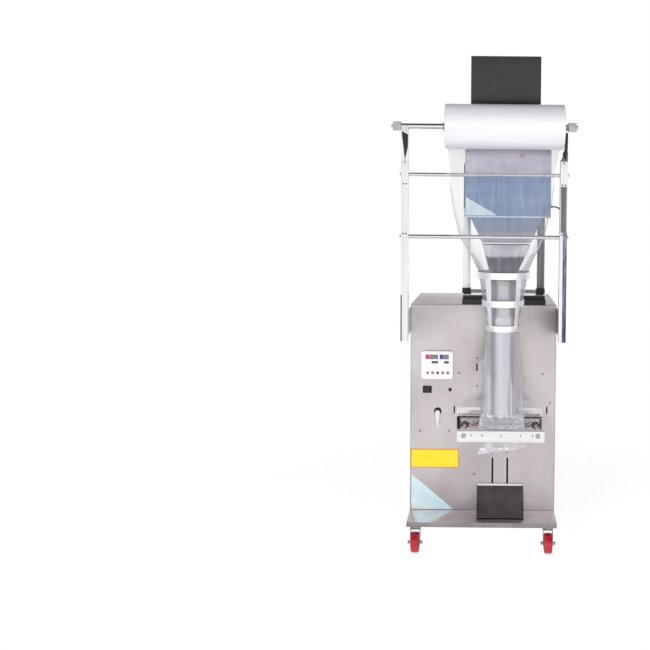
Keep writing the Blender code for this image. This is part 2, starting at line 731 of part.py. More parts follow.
def former():
    turned(
        "forming_tube",
        [
            (TUBE_RADIUS, TUBE_TOP),
            (TUBE_RADIUS, TUBE_LOW),
            (TUBE_RADIUS - TUBE_WALL, TUBE_LOW),
            (TUBE_RADIUS - TUBE_WALL, TUBE_TOP),
        ],
        (LINE_X, LINE_Y, 0),
        (0, 0, 1),
        CHROME,
    )
    rings = {
        name: turned(
            name,
            [(radius, high), (radius, low), (radius - RING_WALL, low), (radius - RING_WALL, high)],
            (LINE_X, LINE_Y, 0),
            (0, 0, 1),
            BRIGHT,
            steps=RING_STEPS,
        )
        for name, (low, high, radius) in zip(RING_NAMES, RINGS)
    }
    # Each strap is welded into the middle ring's wall and stays just clear of the other two.
    upper, middle, lower = (radius for _, _, radius in RINGS)
    levels = (
        # ring radius, sideways offset, width, height, gap
        (upper, 0.0560, 0.024, 1.050, FIT),
        (upper, 0.0560, 0.024, 1.035, FIT),
        (middle, 0.0515, 0.019, 0.945, -0.001),
        (lower, 0.0466, 0.015, 0.865, FIT),
        (lower, 0.0466, 0.015, 0.850, FIT),
    )
    cage = rings["former_cage"]
    for side in (-1, 1):
        for facing in (1, -1):
            sections = [
                strap_section(radius, offset, facing * width, height, side, gap)
                for radius, offset, width, height, gap in levels
            ]
            join(cage, loft(f"cage_strap_{side}_{facing}", sections))
        tab_in, tab_out = LINE_X + side * 0.050, LINE_X + side * 0.064
        low_x, high_x = min(tab_in, tab_out), max(tab_in, tab_out)
        arm = box(f"cage_arm_{side}", (low_x, LINE_Y + 0.0590, 0.9345), (high_x, FRONT - FIT, 0.9385))
        foot = box(f"cage_foot_{side}", (low_x, FRONT - 0.0035, 0.880), (high_x, FRONT - FIT, 0.9383))
        join(cage, arm, foot)

    clamp = turned(
        "former_bracket",
        [(0.0600, 1.030), (0.0600, 1.012), (TUBE_RADIUS + FIT, 1.012), (TUBE_RADIUS + FIT, 1.030)],
        (LINE_X, LINE_Y, 0),
        (0, 0, 1),
        ZINC,
    )
    bars = {
        "bracket_arm": (0.010, LINE_Y + 0.056, FRONT - 0.005, 1.013, 1.029),
        "bracket_post": (0.009, FRONT - 0.020, FRONT - 0.006, 0.880, 1.025),
        "bracket_foot": (0.030, FRONT - 0.007, FRONT - FIT, 0.870, 0.916),
    }
    for name, (half, front, back, low, high) in bars.items():
        join(clamp, box(name, (LINE_X - half, front, low), (LINE_X + half, back, high)))


def circle(radius, height, count, x=LINE_X, y=LINE_Y):
    """Points round a circle, starting at its front left corner direction."""
    angles = [2 * pi * i / count - 3 * pi / 4 for i in range(count)]
    return [(x + radius * cos(a), y + radius * sin(a), height) for a in angles]


def matched_rectangle(left, right, front, back, height, count):
    """Points round a rectangle, one for each point of a circle with the same count."""
    corners = [(left, front), (right, front), (right, back), (left, back)]
    side = count // 4
    points = []
    for index, (x, y) in enumerate(corners):
        next_x, next_y = corners[(index + 1) % 4]
        for step in range(side):
            share = step / side
            points.append((x + (next_x - x) * share, y + (next_y - y) * share, height))
    return points


def infeed_funnel():
    count = 24
    left, right = -0.006, 0.171
    front, back = LINE_Y - 0.056, LINE_Y + 0.056
    wall = 0.0020
    outer = [
        matched_rectangle(left, right, front, back, 1.160, count),
        circle(0.0490, 1.046, count),
        circle(0.0490, 1.005, count),
    ]
    inner = [
        circle(0.0490 - wall, 1.005, count),
        circle(0.0490 - wall, 1.046, count),
        matched_rectangle(left + wall, right - wall, front + wall, back - wall, 1.160, count),
    ]
    loft("infeed_funnel", outer + inner, STAINLESS, ring=True)


# ---------------------------------------------------------------- film
WEB_LEVELS = (
    # height, middle, plane of the front run, its half width, corner radius, half of the width used
    (1.5380, 0.0705, ARM_Y + 0.0700, 0.2095, 0.010, 0.2095),
    (1.4135, 0.0640, ARM_Y - 0.0078, 0.1845, 0.010, 0.1845),
    (1.4010, 0.0640, ARM_Y - 0.0076, 0.1840, 0.010, 0.1840),
    (1.3700, 0.0640, ARM_Y - 0.0065, 0.1780, 0.010, 0.1890),
    (1.2800, 0.0640, ARM_Y + 0.0020, 0.1500, 0.025, 0.2000),
    (1.1890, 0.0650, ROLLER_LOWER_Y + 0.0082, 0.1150, 0.040, 0.2050),
    (1.1200, 0.0700, ARM_Y - 0.0020, 0.0450, 0.075, 0.2095),
    (1.0600, LINE_X, LINE_Y - 0.0925, 0.0, 0.0925, 0.2095),
    (0.9450, LINE_X, LINE_Y - 0.0735, 0.0, 0.0735, 0.2095),
    (0.8960, LINE_X, LINE_Y - 0.0632, 0.0, 0.0632, 0.2095),
)
WEB_ACROSS = 24


def web_point(middle, front, flat, radius, along):
    """Point and inward normal at a distance along the film from its middle line, at one height."""
    side = 1 if along >= 0 else -1
    left = abs(along)
    if left <= flat:
        return (middle + side * left, front), (0, 1)
    limit = radius * (pi / 2 if flat > 0.05 else pi)
    arc = min(left - flat, limit)
    angle = arc / radius
    tail = left - flat - arc
    x = flat + radius * sin(angle) + tail * cos(angle)
    y = front + radius * (1 - cos(angle)) + tail * sin(angle)
    return (middle + side * x, y), (-side * sin(angle), cos(angle))


def film_web():
    """The web as one thin strip: a loft whose loops run out along its face and back along its rear."""
    sections = []
    for height, middle, front, flat, radius, half in WEB_LEVELS:
        face, rear = [], []
        for step in range(WEB_ACROSS + 1):
            along = half * (2 * step / WEB_ACROSS - 1)
            (x, y), (inward_x, inward_y) = web_point(middle, front, flat, radius, along)
            face.append((x, y, height))
            rear.append((x + inward_x * FILM, y + inward_y * FILM, height))
        sections.append(face + rear[::-1])
    loft("film_web", sections, CLEAR)


def oval(half_width, half_depth, height, count, y):
    """Points round an oval centred on the film line, starting at its front."""
    angles = [2 * pi * i / count - pi / 2 for i in range(count)]
    return [(LINE_X + half_width * cos(a), y + half_depth * sin(a), height) for a in angles]


def film_tube():
    """The tube with its closed lower end hanging between the jaws."""
    count = 20
    depth = FILM_TUBE_HALF_DEPTH
    outer = [
        oval(0.0628, 0.0628, 0.8940, count, LINE_Y),
        oval(0.0560, 0.0560, 0.8680, count, LINE_Y),
        oval(0.0560, 0.0560, 0.8380, count, LINE_Y),
        oval(0.0700, depth, 0.7900, count, LINE_Y),
        oval(0.0780, depth, 0.5260, count, LINE_Y),
        oval(0.0800, 0.0200, 0.5080, count, LINE_Y + 0.006),
        oval(0.0840, 0.0010, 0.4930, count, JAW_Y),
        oval(0.0850, 0.0010, 0.4420, count, JAW_Y),
        oval(0.0860, 0.0060, 0.4150, count, JAW_Y),
        oval(0.0870, 0.0010, 0.3850, count, JAW_Y),
    ]
    wall = FILM
    inner = [
        oval(0.0620, 0.0620, 0.8940, count, LINE_Y),
        oval(0.0560 - wall, 0.0560 - wall, 0.8680, count, LINE_Y),
        oval(0.0560 - wall, 0.0560 - wall, 0.8380, count, LINE_Y),
        oval(0.0700 - wall, depth - wall, 0.7900, count, LINE_Y),
        oval(0.0780 - wall, depth - wall, 0.5260, count, LINE_Y),
        oval(0.0790, 0.0190, 0.5090, count, LINE_Y + 0.006),
    ]
    body = loft("film_tube", [*inner[::-1], *outer], CLEAR)
    seam = box(
        "film_seam",
        (LINE_X - FILM, LINE_Y + 0.0536, 0.5405),
        (LINE_X + FILM, LINE_Y + 0.0900, 0.8410),
    )
    join(body, seam)


# ---------------------------------------------------------------- arms, roll and guide rollers
WEDGES = {
    "left": [(-0.2950, 1.562), (-0.2825, 1.460), (-0.2720, 1.507), (-0.2715, 1.550)],
    "right": [
        (0.2845, 1.556), (0.2832, 1.500), (0.2765, 1.488), (0.2775, 1.478), (0.2890, 1.4585), (0.2945, 1.503),
        (0.2955, 1.562),
    ],
}


def arms():
    """Upright channels that open to the back, each with a wedge and a bracket on the cabinet's side."""
    web_front, web_back, open_back = ARM_Y - 0.013, ARM_Y - 0.011, ARM_Y + 0.012
    for name, side in (("left", -1), ("right", 1)):
        low_x, high_x = sorted((side * ARM_IN, side * ARM_OUT))
        arm = box(f"arm_{name}", (low_x, web_front, ARM_LOW), (high_x, open_back, ARM_TOP), BRIGHT)
        room_low, room_high = sorted((side * (ARM_IN + 0.002), side * (ARM_OUT - 0.002)))
        room = box(
            f"arm_room_{name}",
            (room_low, web_back, ARM_LOW - 0.01),
            (room_high, open_back + 0.01, ARM_TOP + 0.01),
        )
        relief = [
            (side * (ARM_IN - 0.02), ARM_TOP + 0.01),
            (side * (ARM_IN - 0.02), 1.4600),
            (side * ARM_IN, 1.4600),
            (side * 0.2840, 1.4950),
            (side * 0.2840, ARM_TOP + 0.01),
        ]
        cradle = rod(
            f"arm_cradle_{name}",
            (side * 0.25, ARM_Y, SPINDLE_Z),
            (side * 0.31, ARM_Y, SPINDLE_Z),
            SPINDLE_RADIUS + 0.0006,
            sides=24,
        )
        cut(arm, room, cradle)
        if name == "right":
            cut(arm, outline_solid("arm_relief", relief, 0.08, standing(ARM_Y)))
        for index, (y, z) in enumerate(((ARM_Y, ROLLER_UPPER_Z), (ROLLER_LOWER_Y, ROLLER_LOWER_Z))):
            start, end = (side * 0.25, y, z), (side * 0.31, y, z)
            cut(arm, rod(f"arm_hole_{name}_{index}", start, end, 0.0034, sides=12))
        outline_solid(f"wedge_{name}", WEDGES[name], 0.003, standing(web_front - 0.0015 - FIT), BLACK)
        plate_low, plate_high = sorted((side * (CABINET_HALF + FIT), side * (CABINET_HALF + 0.0033)))
        bracket = box(
            f"side_bracket_{name}",
            (plate_low, web_front + 0.001, 0.816),
            (plate_high, FRONT + 0.060, 0.912),
        )
        join(arm, bracket)


def film_supply():
    core = 0.0160
    length = ROLL_RIGHT - ROLL_LEFT
    turned(
        "film_roll",
        [(core, length), (ROLL_RADIUS, length), (ROLL_RADIUS, 0), (core, 0)],
        (ROLL_LEFT, ARM_Y, SPINDLE_Z),
        (1, 0, 0),
        ROLL,
        steps=32,
    )
    spindle = turned(
        "film_spindle",
        [
            (0, SPINDLE_HALF),
            (0.006, SPINDLE_HALF),
            (0.006, 0.326),
            (SPINDLE_RADIUS, 0.3255),
            (SPINDLE_RADIUS, -0.3255),
            (0.006, -0.326),
            (0.006, -SPINDLE_HALF),
            (0, -SPINDLE_HALF),
        ],
        (0, ARM_Y, SPINDLE_Z),
        (1, 0, 0),
        CHROME,
        steps=16,
    )
    for way in (-1, 1):
        low, high = sorted((way * 0.2968, way * 0.3258))
        block = box(
            f"spindle_block_{way}",
            (low, ARM_Y - 0.015, SPINDLE_Z - 0.015),
            (high, ARM_Y + 0.015, SPINDLE_Z + 0.015),
        )
        join(spindle, block)
    bore = SPINDLE_RADIUS + FIT
    for name, face, way, flange in (("left", ROLL_LEFT, -1, 0.0070), ("right", ROLL_RIGHT, 1, 0.0026)):
        turned(
            f"roll_clamp_{name}",
            [
                (bore, flange),
                (0.0150, flange),
                (0.0170, flange - 0.0010),
                (0.0170, FIT),
                (0.0155, FIT),
                (0.0155, -0.020),
                (bore, -0.020),
            ],
            (face, ARM_Y, SPINDLE_Z),
            (way, 0, 0),
            BLACK,
            steps=16,
        )
    for name, y, z, radius in (
        ("guide_roller_upper", ARM_Y, ROLLER_UPPER_Z, ROLLER_UPPER_RADIUS),
        ("guide_roller_lower", ROLLER_LOWER_Y, ROLLER_LOWER_Z, ROLLER_LOWER_RADIUS),
    ):
        half_profile = [
            (0, 0.3020),
            (0.0055, 0.3020),
            (0.0055, 0.2965),
            (0.0030, 0.2965),
            (0.0030, 0.2690),
            (radius, 0.2690),
        ]
        mirrored = [(r, -h) for r, h in reversed(half_profile)]
        turned(name, half_profile + mirrored, (0, y, z), (1, 0, 0), CHROME, steps=12)


# ---------------------------------------------------------------- weigher
POST_XS = (-0.0700, 0.2245)


def weigher():
    stand = box(
        "weigher_stand",
        (-0.083, FRONT + 0.004, CABINET_TOP + FIT),
        (0.238, FRONT + 0.300, 0.944),
        BLACK,
    )
    deck = box("stand_deck", (-0.081, FRONT + 0.026, 0.9435), (0.236, FRONT + 0.280, 0.957))
    join(stand, deck)
    post_front = WEIGHER_BACK + 0.002
    for index, x in enumerate(POST_XS):
        post = box(
            f"post_{index}",
            (x - 0.0135, post_front, 0.9565),
            (x + 0.0135, post_front + 0.027, 1.470),
        )
        foot = box(
            f"post_foot_{index}",
            (x - 0.017, post_front - 0.004, 0.9560),
            (x + 0.017, post_front + 0.031, 0.976),
        )
        join(stand, post, foot)
    back_plate = box(
        "back_plate",
        (POST_XS[0] - 0.012, WEIGHER_BACK + FIT, 1.300),
        (POST_XS[1] + 0.012, post_front + 0.002, 1.420),
    )
    join(stand, back_plate)

    wall = 0.002
    body = box(
        "weigher_body",
        (WEIGHER_LEFT, WEIGHER_FRONT, WEIGHER_LOW),
        (WEIGHER_RIGHT, WEIGHER_BACK, WEIGHER_TOP),
        BLUE,
    )
    room = box(
        "weigher_room",
        (WEIGHER_LEFT + wall, WEIGHER_FRONT + wall, WEIGHER_LOW + wall),
        (WEIGHER_RIGHT - wall, WEIGHER_BACK - wall, WEIGHER_TOP - wall),
    )
    throat = box("weigher_throat", (0.026, FRONT - 0.014, 1.49), (0.124, FRONT + 0.074, 1.52))
    top_level = (-0.051, 0.214, WEIGHER_FRONT + 0.0030, FRONT - 0.012)
    low_level = (-0.007, 0.172, WEIGHER_FRONT + 0.0030, LINE_Y + 0.050)
    chute = loft("outlet_outer", [rectangle(*top_level, 1.2590), rectangle(*low_level, 1.166)])

    def shrunk(level, height):
        left, right, front, back = level
        return rectangle(left + wall, right - wall, front + wall, back - wall, height)

    passage = loft("outlet_inner", [shrunk(top_level, 1.2625), shrunk(low_level, 1.160)])
    cut(body, room, throat)
    join(body, chute)
    cut(body, passage)
    for index, y in enumerate(CABLE_STARTS):
        start, end = (WEIGHER_RIGHT - 0.001, y, UPPER_GLAND_Z), (WEIGHER_RIGHT + 0.008, y, UPPER_GLAND_Z)
        join(body, rod(f"upper_gland_{index}", start, end, 0.0055, sides=12))

    rectangle_ring(
        "hopper",
        [
            (-0.053, 0.204, FRONT - 0.100, FRONT + 0.100, HOPPER_TOP),
            (-0.053, 0.204, FRONT - 0.100, FRONT + 0.100, 1.660),
            (0.020, 0.130, FRONT - 0.020, FRONT + 0.080, WEIGHER_TOP + FIT),
        ],
        0.0025,
        DARK,
    )

    tray = box("feed_tray", (0.022, FRONT - 0.068, 1.405), (0.128, FRONT + 0.085, 1.436), ZINC)
    tray_room = box("tray_room", (0.024, FRONT - 0.080, 1.407), (0.126, FRONT + 0.083, 1.450))
    cut(tray, tray_room)
    vibrator = box("tray_vibrator", (0.045, FRONT - 0.010, 1.2605), (0.105, FRONT + 0.065, 1.4055))
    join(tray, vibrator)

    bucket_back = FRONT - 0.035
    bucket_front = WEIGHER_FRONT + 0.010
    rectangle_ring(
        "weigh_bucket",
        [
            (0.020, 0.130, bucket_front, bucket_back, 1.385),
            (0.020, 0.130, bucket_front, bucket_back, 1.300),
        ],
        0.002,
        STAINLESS,
    )
    flap = box(
        "bucket_flap",
        (0.022, bucket_front + 0.001, 1.2955),
        (0.128, bucket_back - 0.003, 1.2975),
        ZINC,
    )
    pin_y, pin_z = bucket_back - 0.004, 1.2965
    join(flap, rod("flap_pin", (0.020, pin_y, pin_z), (0.130, pin_y, pin_z), 0.0025, sides=12))
    pivot(flap, (0.075, pin_y, pin_z))


# ---------------------------------------------------------------- cables from the weigher to the cabinet
def smooth_route(route, spacing):
    """Evenly spaced points on a smooth curve through the route's own points."""
    points = [Vector(point) for point in route]
    ends = [points[0] * 2 - points[1], *points, points[-1] * 2 - points[-2]]
    fine = []
    for before, start, end, after in zip(ends, ends[1:], ends[2:], ends[3:]):
        for step in range(20):
            t = step / 20
            straight = 2 * start + (end - before) * t
            bend = (2 * before - 5 * start + 4 * end - after) * t * t
            twist = (3 * start - before - 3 * end + after) * t ** 3
            fine.append((straight + bend + twist) / 2)
    fine.append(points[-1])
    total = sum((b - a).length for a, b in zip(fine, fine[1:]))
    count = round(total / spacing)
    picked, travelled, target = [fine[0]], 0.0, total / count
    for a, b in zip(fine, fine[1:]):
        step = (b - a).length
        while travelled + step >= target and len(picked) < count:
            picked.append(a.lerp(b, (target - travelled) / step))
            target += total / count
        travelled += step
    return [*picked, fine[-1]]


def cable(name, start_y, end_y, bulge):
    """A round cable that leaves one gland level, falls in a bow and enters the other level."""
    out = CABINET_HALF + 0.005 + FIT
    route = [
        (WEIGHER_RIGHT + 0.008 + FIT, start_y, UPPER_GLAND_Z),
        (WEIGHER_RIGHT + 0.020, start_y, UPPER_GLAND_Z + 0.0005),
        (0.278, start_y + 0.003, 1.294),
        (0.292, start_y + 0.014, 1.270),
        (0.303 + bulge, start_y + 0.045, 1.210),
        (0.307 + bulge, start_y + 0.085, 1.120),
        (0.307 + bulge, start_y + 0.130, 1.030),
        (0.306, end_y - 0.020, 0.960),
        (0.305, end_y - 0.004, 0.915),
        (0.3055, end_y, 0.902),
        (0.3040, end_y, 0.888),
        (0.2985, end_y, LOWER_GLAND_Z),
        (0.2920, end_y, LOWER_GLAND_Z - 0.0001),
        (out, end_y, LOWER_GLAND_Z),
    ]
    curve = bpy.data.curves.new(name, "CURVE")
    curve.dimensions = "3D"
    curve.bevel_depth = CABLE_RADIUS
    curve.bevel_resolution = 2
    curve.use_fill_caps = True
    spline = curve.splines.new("POLY")
    points = smooth_route(route, 0.0135)
    spline.points.add(len(points) - 1)
    for point, place in zip(spline.points, points):
        point.co = (*place, 1)
    keep(bpy.data.objects.new(name, curve), RUBBER)


# ---------------------------------------------------------------- discharge chute
CHUTE_STUDS = (0.039, 0.0965)
CHUTE_STUD_Z = 0.206


def discharge_chute():
    left, right = -0.020, 0.158
    back = FRONT - FIT
    sheet = 0.002
    plate = box("discharge_chute", (left, back - sheet, 0.140), (right, back, 0.229), DARK)
    slide = [
        (FRONT - 0.0012, 0.222),
        (FRONT - 0.092, 0.1262),
        (FRONT - 0.092, 0.1290),
        (FRONT - 0.0012, 0.2250),
    ]
    middle = Matrix.Translation(((left + right) / 2, 0, 0))
    run = outline_solid("chute_run", slide, right - left - 0.0004, middle @ ALONG_Y)
    cheek_outline = [
        (FRONT - 0.0014, 0.1400),
        (FRONT - 0.0880, 0.1264),
        (FRONT - 0.0918, 0.1264),
        (FRONT - 0.0918, 0.1360),
        (FRONT - 0.0014, 0.2286),
    ]
    join(plate, run)
    for name, x in (("left", left + 0.001), ("right", right - 0.001)):
        place = Matrix.Translation((x, 0, 0)) @ ALONG_Y
        join(plate, outline_solid(f"chute_cheek_{name}", cheek_outline, sheet, place))
    for index, x in enumerate(CHUTE_STUDS):
        start, end = (x, back - 0.001, CHUTE_STUD_Z), (x, FRONT + 0.014, CHUTE_STUD_Z)
        stud = rod(f"chute_stud_{index}", start, end, 0.003, sides=12)
        nut_start, nut_end = (x, FRONT + 0.0045, CHUTE_STUD_Z), (x, FRONT + 0.0095, CHUTE_STUD_Z)
        nut = rod(f"chute_nut_{index}", nut_start, nut_end, 0.0065, sides=6)
        join(plate, stud, nut)
    pivot(plate, (LINE_X, FRONT, CHUTE_STUD_Z))


base_plate()
for place in caster_places():
    caster(*place)
cabinet_shell()
front_panel()
rear_door()
controls()
jaws()
seam_drive()
former()
infeed_funnel()
film_web()
film_tube()
arms()
film_supply()
weigher()
cable("weigher_cable_power", CABLE_STARTS[0], CABLE_YS[0], 0.003)
cable("weigher_cable_signal", CABLE_STARTS[1], CABLE_YS[1], 0.000)
discharge_chute()
bpy.context.view_layer.update()
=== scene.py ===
# %% [markdown]
# # A vertical form fill sealer
# The machine packs loose food into bags. Its moving frame comes ready made, with every joint, so this
# lesson only gives it its looks: rounded sheet metal, film, cables, screws and finishes.

import json
from math import cos, pi, radians, sin

import bmesh
import bpy
import numpy as np
from mathutils import Matrix, Vector, noise


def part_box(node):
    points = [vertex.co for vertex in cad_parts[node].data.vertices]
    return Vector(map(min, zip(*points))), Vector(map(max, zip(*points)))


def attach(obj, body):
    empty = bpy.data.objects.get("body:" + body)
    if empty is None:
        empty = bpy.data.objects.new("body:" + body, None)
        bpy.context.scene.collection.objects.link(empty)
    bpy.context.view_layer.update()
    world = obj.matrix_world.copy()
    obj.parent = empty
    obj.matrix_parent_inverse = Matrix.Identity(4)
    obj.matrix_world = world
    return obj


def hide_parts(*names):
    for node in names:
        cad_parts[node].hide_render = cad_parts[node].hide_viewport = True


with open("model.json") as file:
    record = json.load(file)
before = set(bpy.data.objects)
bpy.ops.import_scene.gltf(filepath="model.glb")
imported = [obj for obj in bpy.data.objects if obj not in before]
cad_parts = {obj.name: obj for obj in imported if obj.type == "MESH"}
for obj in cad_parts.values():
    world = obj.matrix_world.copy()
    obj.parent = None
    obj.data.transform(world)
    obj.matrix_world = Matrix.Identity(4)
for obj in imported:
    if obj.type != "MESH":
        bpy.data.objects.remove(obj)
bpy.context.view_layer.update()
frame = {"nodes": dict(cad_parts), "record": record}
NODES = frame["nodes"]
BODY_OF = {node: body for body, members in frame["record"]["behaviour"]["bodies"].items() for node in members}
SLOT_OF = {entry["node"]: entry["material_slot"] for entry in frame["record"]["subparts"]}

# %% [markdown]
# Everything is placed from the frame's own nodes. The front panel's plane, the line that the film tube
# hangs on and the middle of the arms are measured here once. Two pairs of places that several pieces
# share are named too: the front jaw's guide rods and the two slots of the chute.

# %% Measure the places that the rest is set out from
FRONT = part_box("front_panel")[0].y
TUBE_LOW, TUBE_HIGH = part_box("forming_tube")
LINE_X = (TUBE_LOW.x + TUBE_HIGH.x) / 2
LINE_Y = (TUBE_LOW.y + TUBE_HIGH.y) / 2
ROLLER_LOW, ROLLER_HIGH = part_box("guide_roller_upper")
ARM_Y = (ROLLER_LOW.y + ROLLER_HIGH.y) / 2
JAW_LOW, JAW_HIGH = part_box("front_jaw")
JAW_Y = (JAW_HIGH.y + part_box("rear_jaw")[0].y) / 2 + 0.0005
SPINDLE_LOW, SPINDLE_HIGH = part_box("film_spindle")
SPINDLE_Z = (SPINDLE_LOW.z + SPINDLE_HIGH.z) / 2
JAW_ROD_X = (-0.068, 0.202)
SLOT_X = (0.039, 0.0965)
print(f"front {FRONT:.4f}, line {LINE_X:.3f} {LINE_Y:.4f}, arms {ARM_Y:.4f}, jaws {JAW_Y:.4f}")

# %% [markdown]
# ## Camera
# The machine is seen standing up, from eye level and a few steps away, a little to the left of the
# picture's middle. The lens is shifted sideways rather than turned, so uprights stay upright.

# %% Set the camera
EYE = (0.0232, FRONT - 3.1194, 1.2715)
LOOKS_DOWN, LEANS = radians(2.54), radians(0.52)
FOCAL_LENGTH, SHIFT = 45.17, (-0.2543, -0.1152)
lens = bpy.data.cameras.new("eye_level_lens")
lens.sensor_width = 36.0
lens.lens = FOCAL_LENGTH
lens.shift_x, lens.shift_y = SHIFT
lens.clip_start, lens.clip_end = 0.1, 60.0
camera = bpy.data.objects.new("eye_level_camera", lens)
bpy.context.scene.collection.objects.link(camera)
tilted = Matrix.Rotation(pi / 2 - LOOKS_DOWN, 4, "X") @ Matrix.Rotation(LEANS, 4, "Z")
camera.matrix_world = Matrix.Translation(EYE) @ tilted
bpy.context.scene.camera = camera
print("camera at", [round(x, 3) for x in camera.location])

# %% [markdown]
# ## Helpers for finishes
# A finish is a tree of nodes behind one Principled shader. Colours are written as sRGB hex values, as
# a paint chart gives them, and turned to linear light here. One helper adds any node with its settings.

# %% Colours, nodes and new finishes
def linear(code):
    """Linear RGBA from an sRGB hex value such as "C8BEBB"."""
    parts = [int(code[i : i + 2], 16) / 255 for i in (0, 2, 4)]
    return (*[p / 12.92 if p <= 0.04045 else ((p + 0.055) / 1.055) ** 2.4 for p in parts], 1.0)


def add(tree, kind, inputs=None, **settings):
    """Add one node; an input is a value, or a socket to link from."""
    made = tree.nodes.new(kind)
    for key, value in settings.items():
        setattr(made, key, value)
    for key, value in (inputs or {}).items():
        if isinstance(value, bpy.types.NodeSocket):
            tree.links.new(value, made.inputs[key])
        else:
            made.inputs[key].default_value = value
    return made


def new_finish(name, **shader_inputs):
    """An empty finish: its material, its tree, its shader and its Object coordinates."""
    made = bpy.data.materials.new(name)
    made.use_nodes = True
    tree = made.node_tree
    shader = tree.nodes["Principled BSDF"]
    for key, value in shader_inputs.items():
        shader.inputs[key.replace("_", " ")].default_value = value
    return made, tree, shader, add(tree, "ShaderNodeTexCoord").outputs["Object"]


def ramp(tree, factor, stops):
    """Colours or greys along a factor, from (place, hex) stops."""
    made = add(tree, "ShaderNodeValToRGB", {"Fac": factor})
    points = made.color_ramp.elements
    while len(points) < len(stops):
        points.new(0.5)
    for point, (place, code) in zip(points, stops):
        point.position, point.color = place, linear(code)
    return made.outputs["Color"]


def stretched(tree, place, scale):
    """Coordinates scaled along each axis; a small number draws the pattern out along that axis."""
    return add(tree, "ShaderNodeMapping", {"Vector": place, "Scale": scale}).outputs["Vector"]


def cloud(tree, place, scale, detail, **more):
    """Noise from 0 to 1."""
    settings = {"Vector": place, "Scale": scale, "Detail": detail, **more}
    return add(tree, "ShaderNodeTexNoise", settings).outputs["Fac"]


def mapped(tree, value, start, end, low=0.0, high=1.0, **settings):
    """A value carried from one span to another."""
    spans = {"Value": value, "From Min": start, "From Max": end, "To Min": low, "To Max": high}
    return add(tree, "ShaderNodeMapRange", spans, **settings).outputs["Result"]


def worked(tree, operation, *values):
    """The result of one step of arithmetic."""
    return add(tree, "ShaderNodeMath", dict(enumerate(values)), operation=operation).outputs[0]


def dress(tree, shader, grain, stops, span, rough, relief, strength):
    """Colour and roughness that follow one grain, and a relief of 0.2 mm."""
    tree.links.new(ramp(tree, grain, stops), shader.inputs["Base Color"])
    tree.links.new(mapped(tree, grain, *span, *rough), shader.inputs["Roughness"])
    if strength:
        bump = add(tree, "ShaderNodeBump", {"Height": relief, "Strength": strength, "Distance": 0.0002})
        tree.links.new(bump.outputs["Normal"], shader.inputs["Normal"])


def patterned(name, stretch, scale, stops, rough, bump=0.0, **shader_inputs):
    """A finish whose stretched noise sets its colour, its roughness and a little relief."""
    made, tree, shader, place = new_finish(name, **shader_inputs)
    grain = cloud(tree, stretched(tree, place, stretch), scale, 6.0, Roughness=0.6)
    dress(tree, shader, grain, stops, (0.3, 0.7), rough, grain, bump)
    return made


def metal(name, stretch, scale, stops, rough):
    return patterned(name, stretch, scale, stops, rough, Metallic=1.0)


def even(name, scale, dark, light, rough, spread=0.15, **more):
    """A finish in two close shades, with the same grain every way."""
    stops = [(0.5 - spread, dark), (0.5 + spread, light)]
    return patterned(name, (1.0, 1.0, 1.0), scale, stops, rough, **more)


print("helpers ready; C8BEBB is", [round(x, 3) for x in linear("C8BEBB")])

# %% [markdown]
# ## Metals
# The cabinet is 304 stainless steel sheet with a No. 4 brushed finish: fine upright scratches about
# half a millimetre wide that blur its reflections. Scratches that fine vanish at this distance, so they
# are drawn some 3 mm wide and weak. Broad cloudy patches come from handling.

# %% Stainless sheet, base plate, aluminium, chrome, zinc
def cloudy_sheet(name, light, middle, dark, rough, cloud_scale):
    """Brushed sheet: upright scratches laid over broad soft patches."""
    made, tree, shader, place = new_finish(name, Metallic=1.0)
    scratches = cloud(tree, stretched(tree, place, (320.0, 320.0, 6.0)), 1.0, 3.0)
    patches = cloud(tree, place, cloud_scale, 4.0, Roughness=0.55)
    both = worked(tree, "MULTIPLY_ADD", scratches, 0.22, worked(tree, "MULTIPLY", patches, 0.78))
    stops = [(0.36, dark), (0.5, middle), (0.66, light)]
    dress(tree, shader, both, stops, (0.35, 0.65), rough, scratches, 0.08)
    return made


STAINLESS = cloudy_sheet("stainless_no4_brushed_sheet", "DFD8D8", "D6CECF", "CCC4C5", (0.44, 0.36), 4.0)
# The base plate is a smoother satin sheet, so it looks brighter and its reflections are tighter.
PLATE = cloudy_sheet("stainless_satin_plate", "F2EDEC", "E6E0DF", "D4CECD", (0.24, 0.18), 7.0)
# Its upright edges are rougher than its face, and darker: the darkness is painted shade.
PLATE_EDGE_SHADE = cloudy_sheet("stainless_edge_painted_shade", "B0AAA9", "A19B9A", "8D8786", (0.34, 0.28), 9.0)
# Anodised aluminium extrusion: drawn lengthwise, so it carries long upright streaks and looks nearly white.
ALUMINIUM = metal("anodised_aluminium_extrusion", (260.0, 260.0, 3.0), 1.0,
    [(0.3, "DCDDE0"), (0.5, "F6F6F8"), (0.7, "FFFFFF")], (0.24, 0.34))
# The jaw's bar is milled lengthwise, so its marks run across the machine.
JAW_ALUMINIUM = metal("milled_aluminium_bar", (5.0, 60.0, 190.0), 1.0, [(0.3, "E9E9EC"), (0.6, "FBFBFC")],
    (0.3, 0.38))
# A polished strip mirrors the dim side of the room; that dark, bluish reflection is painted into its colour.
BLUE_REFLECTING = metal("aluminium_strip_painted_reflection", (120.0, 120.0, 14.0), 1.0,
    [(0.35, "3A3E55"), (0.5, "696E8C"), (0.66, "9EA2C0")], (0.16, 0.24))
# The right arm's middle length takes a darker copy of the extrusion, with bright edges: painted shade.
ALUMINIUM_SHADED = metal("aluminium_extrusion_painted_shade", (200.0, 12.0, 2.5), 1.0,
    [(0.35, "64646A"), (0.5, "7C7B80"), (0.68, "A4A4A9")], (0.2, 0.3))
# Hard chrome on turned steel: nearly a mirror, with faint turning marks round it.
CHROME = metal("hard_chromed_steel", (400.0, 60.0, 60.0), 1.0, [(0.35, "E4E4E8"), (0.65, "F4F4F8")],
    (0.05, 0.09))
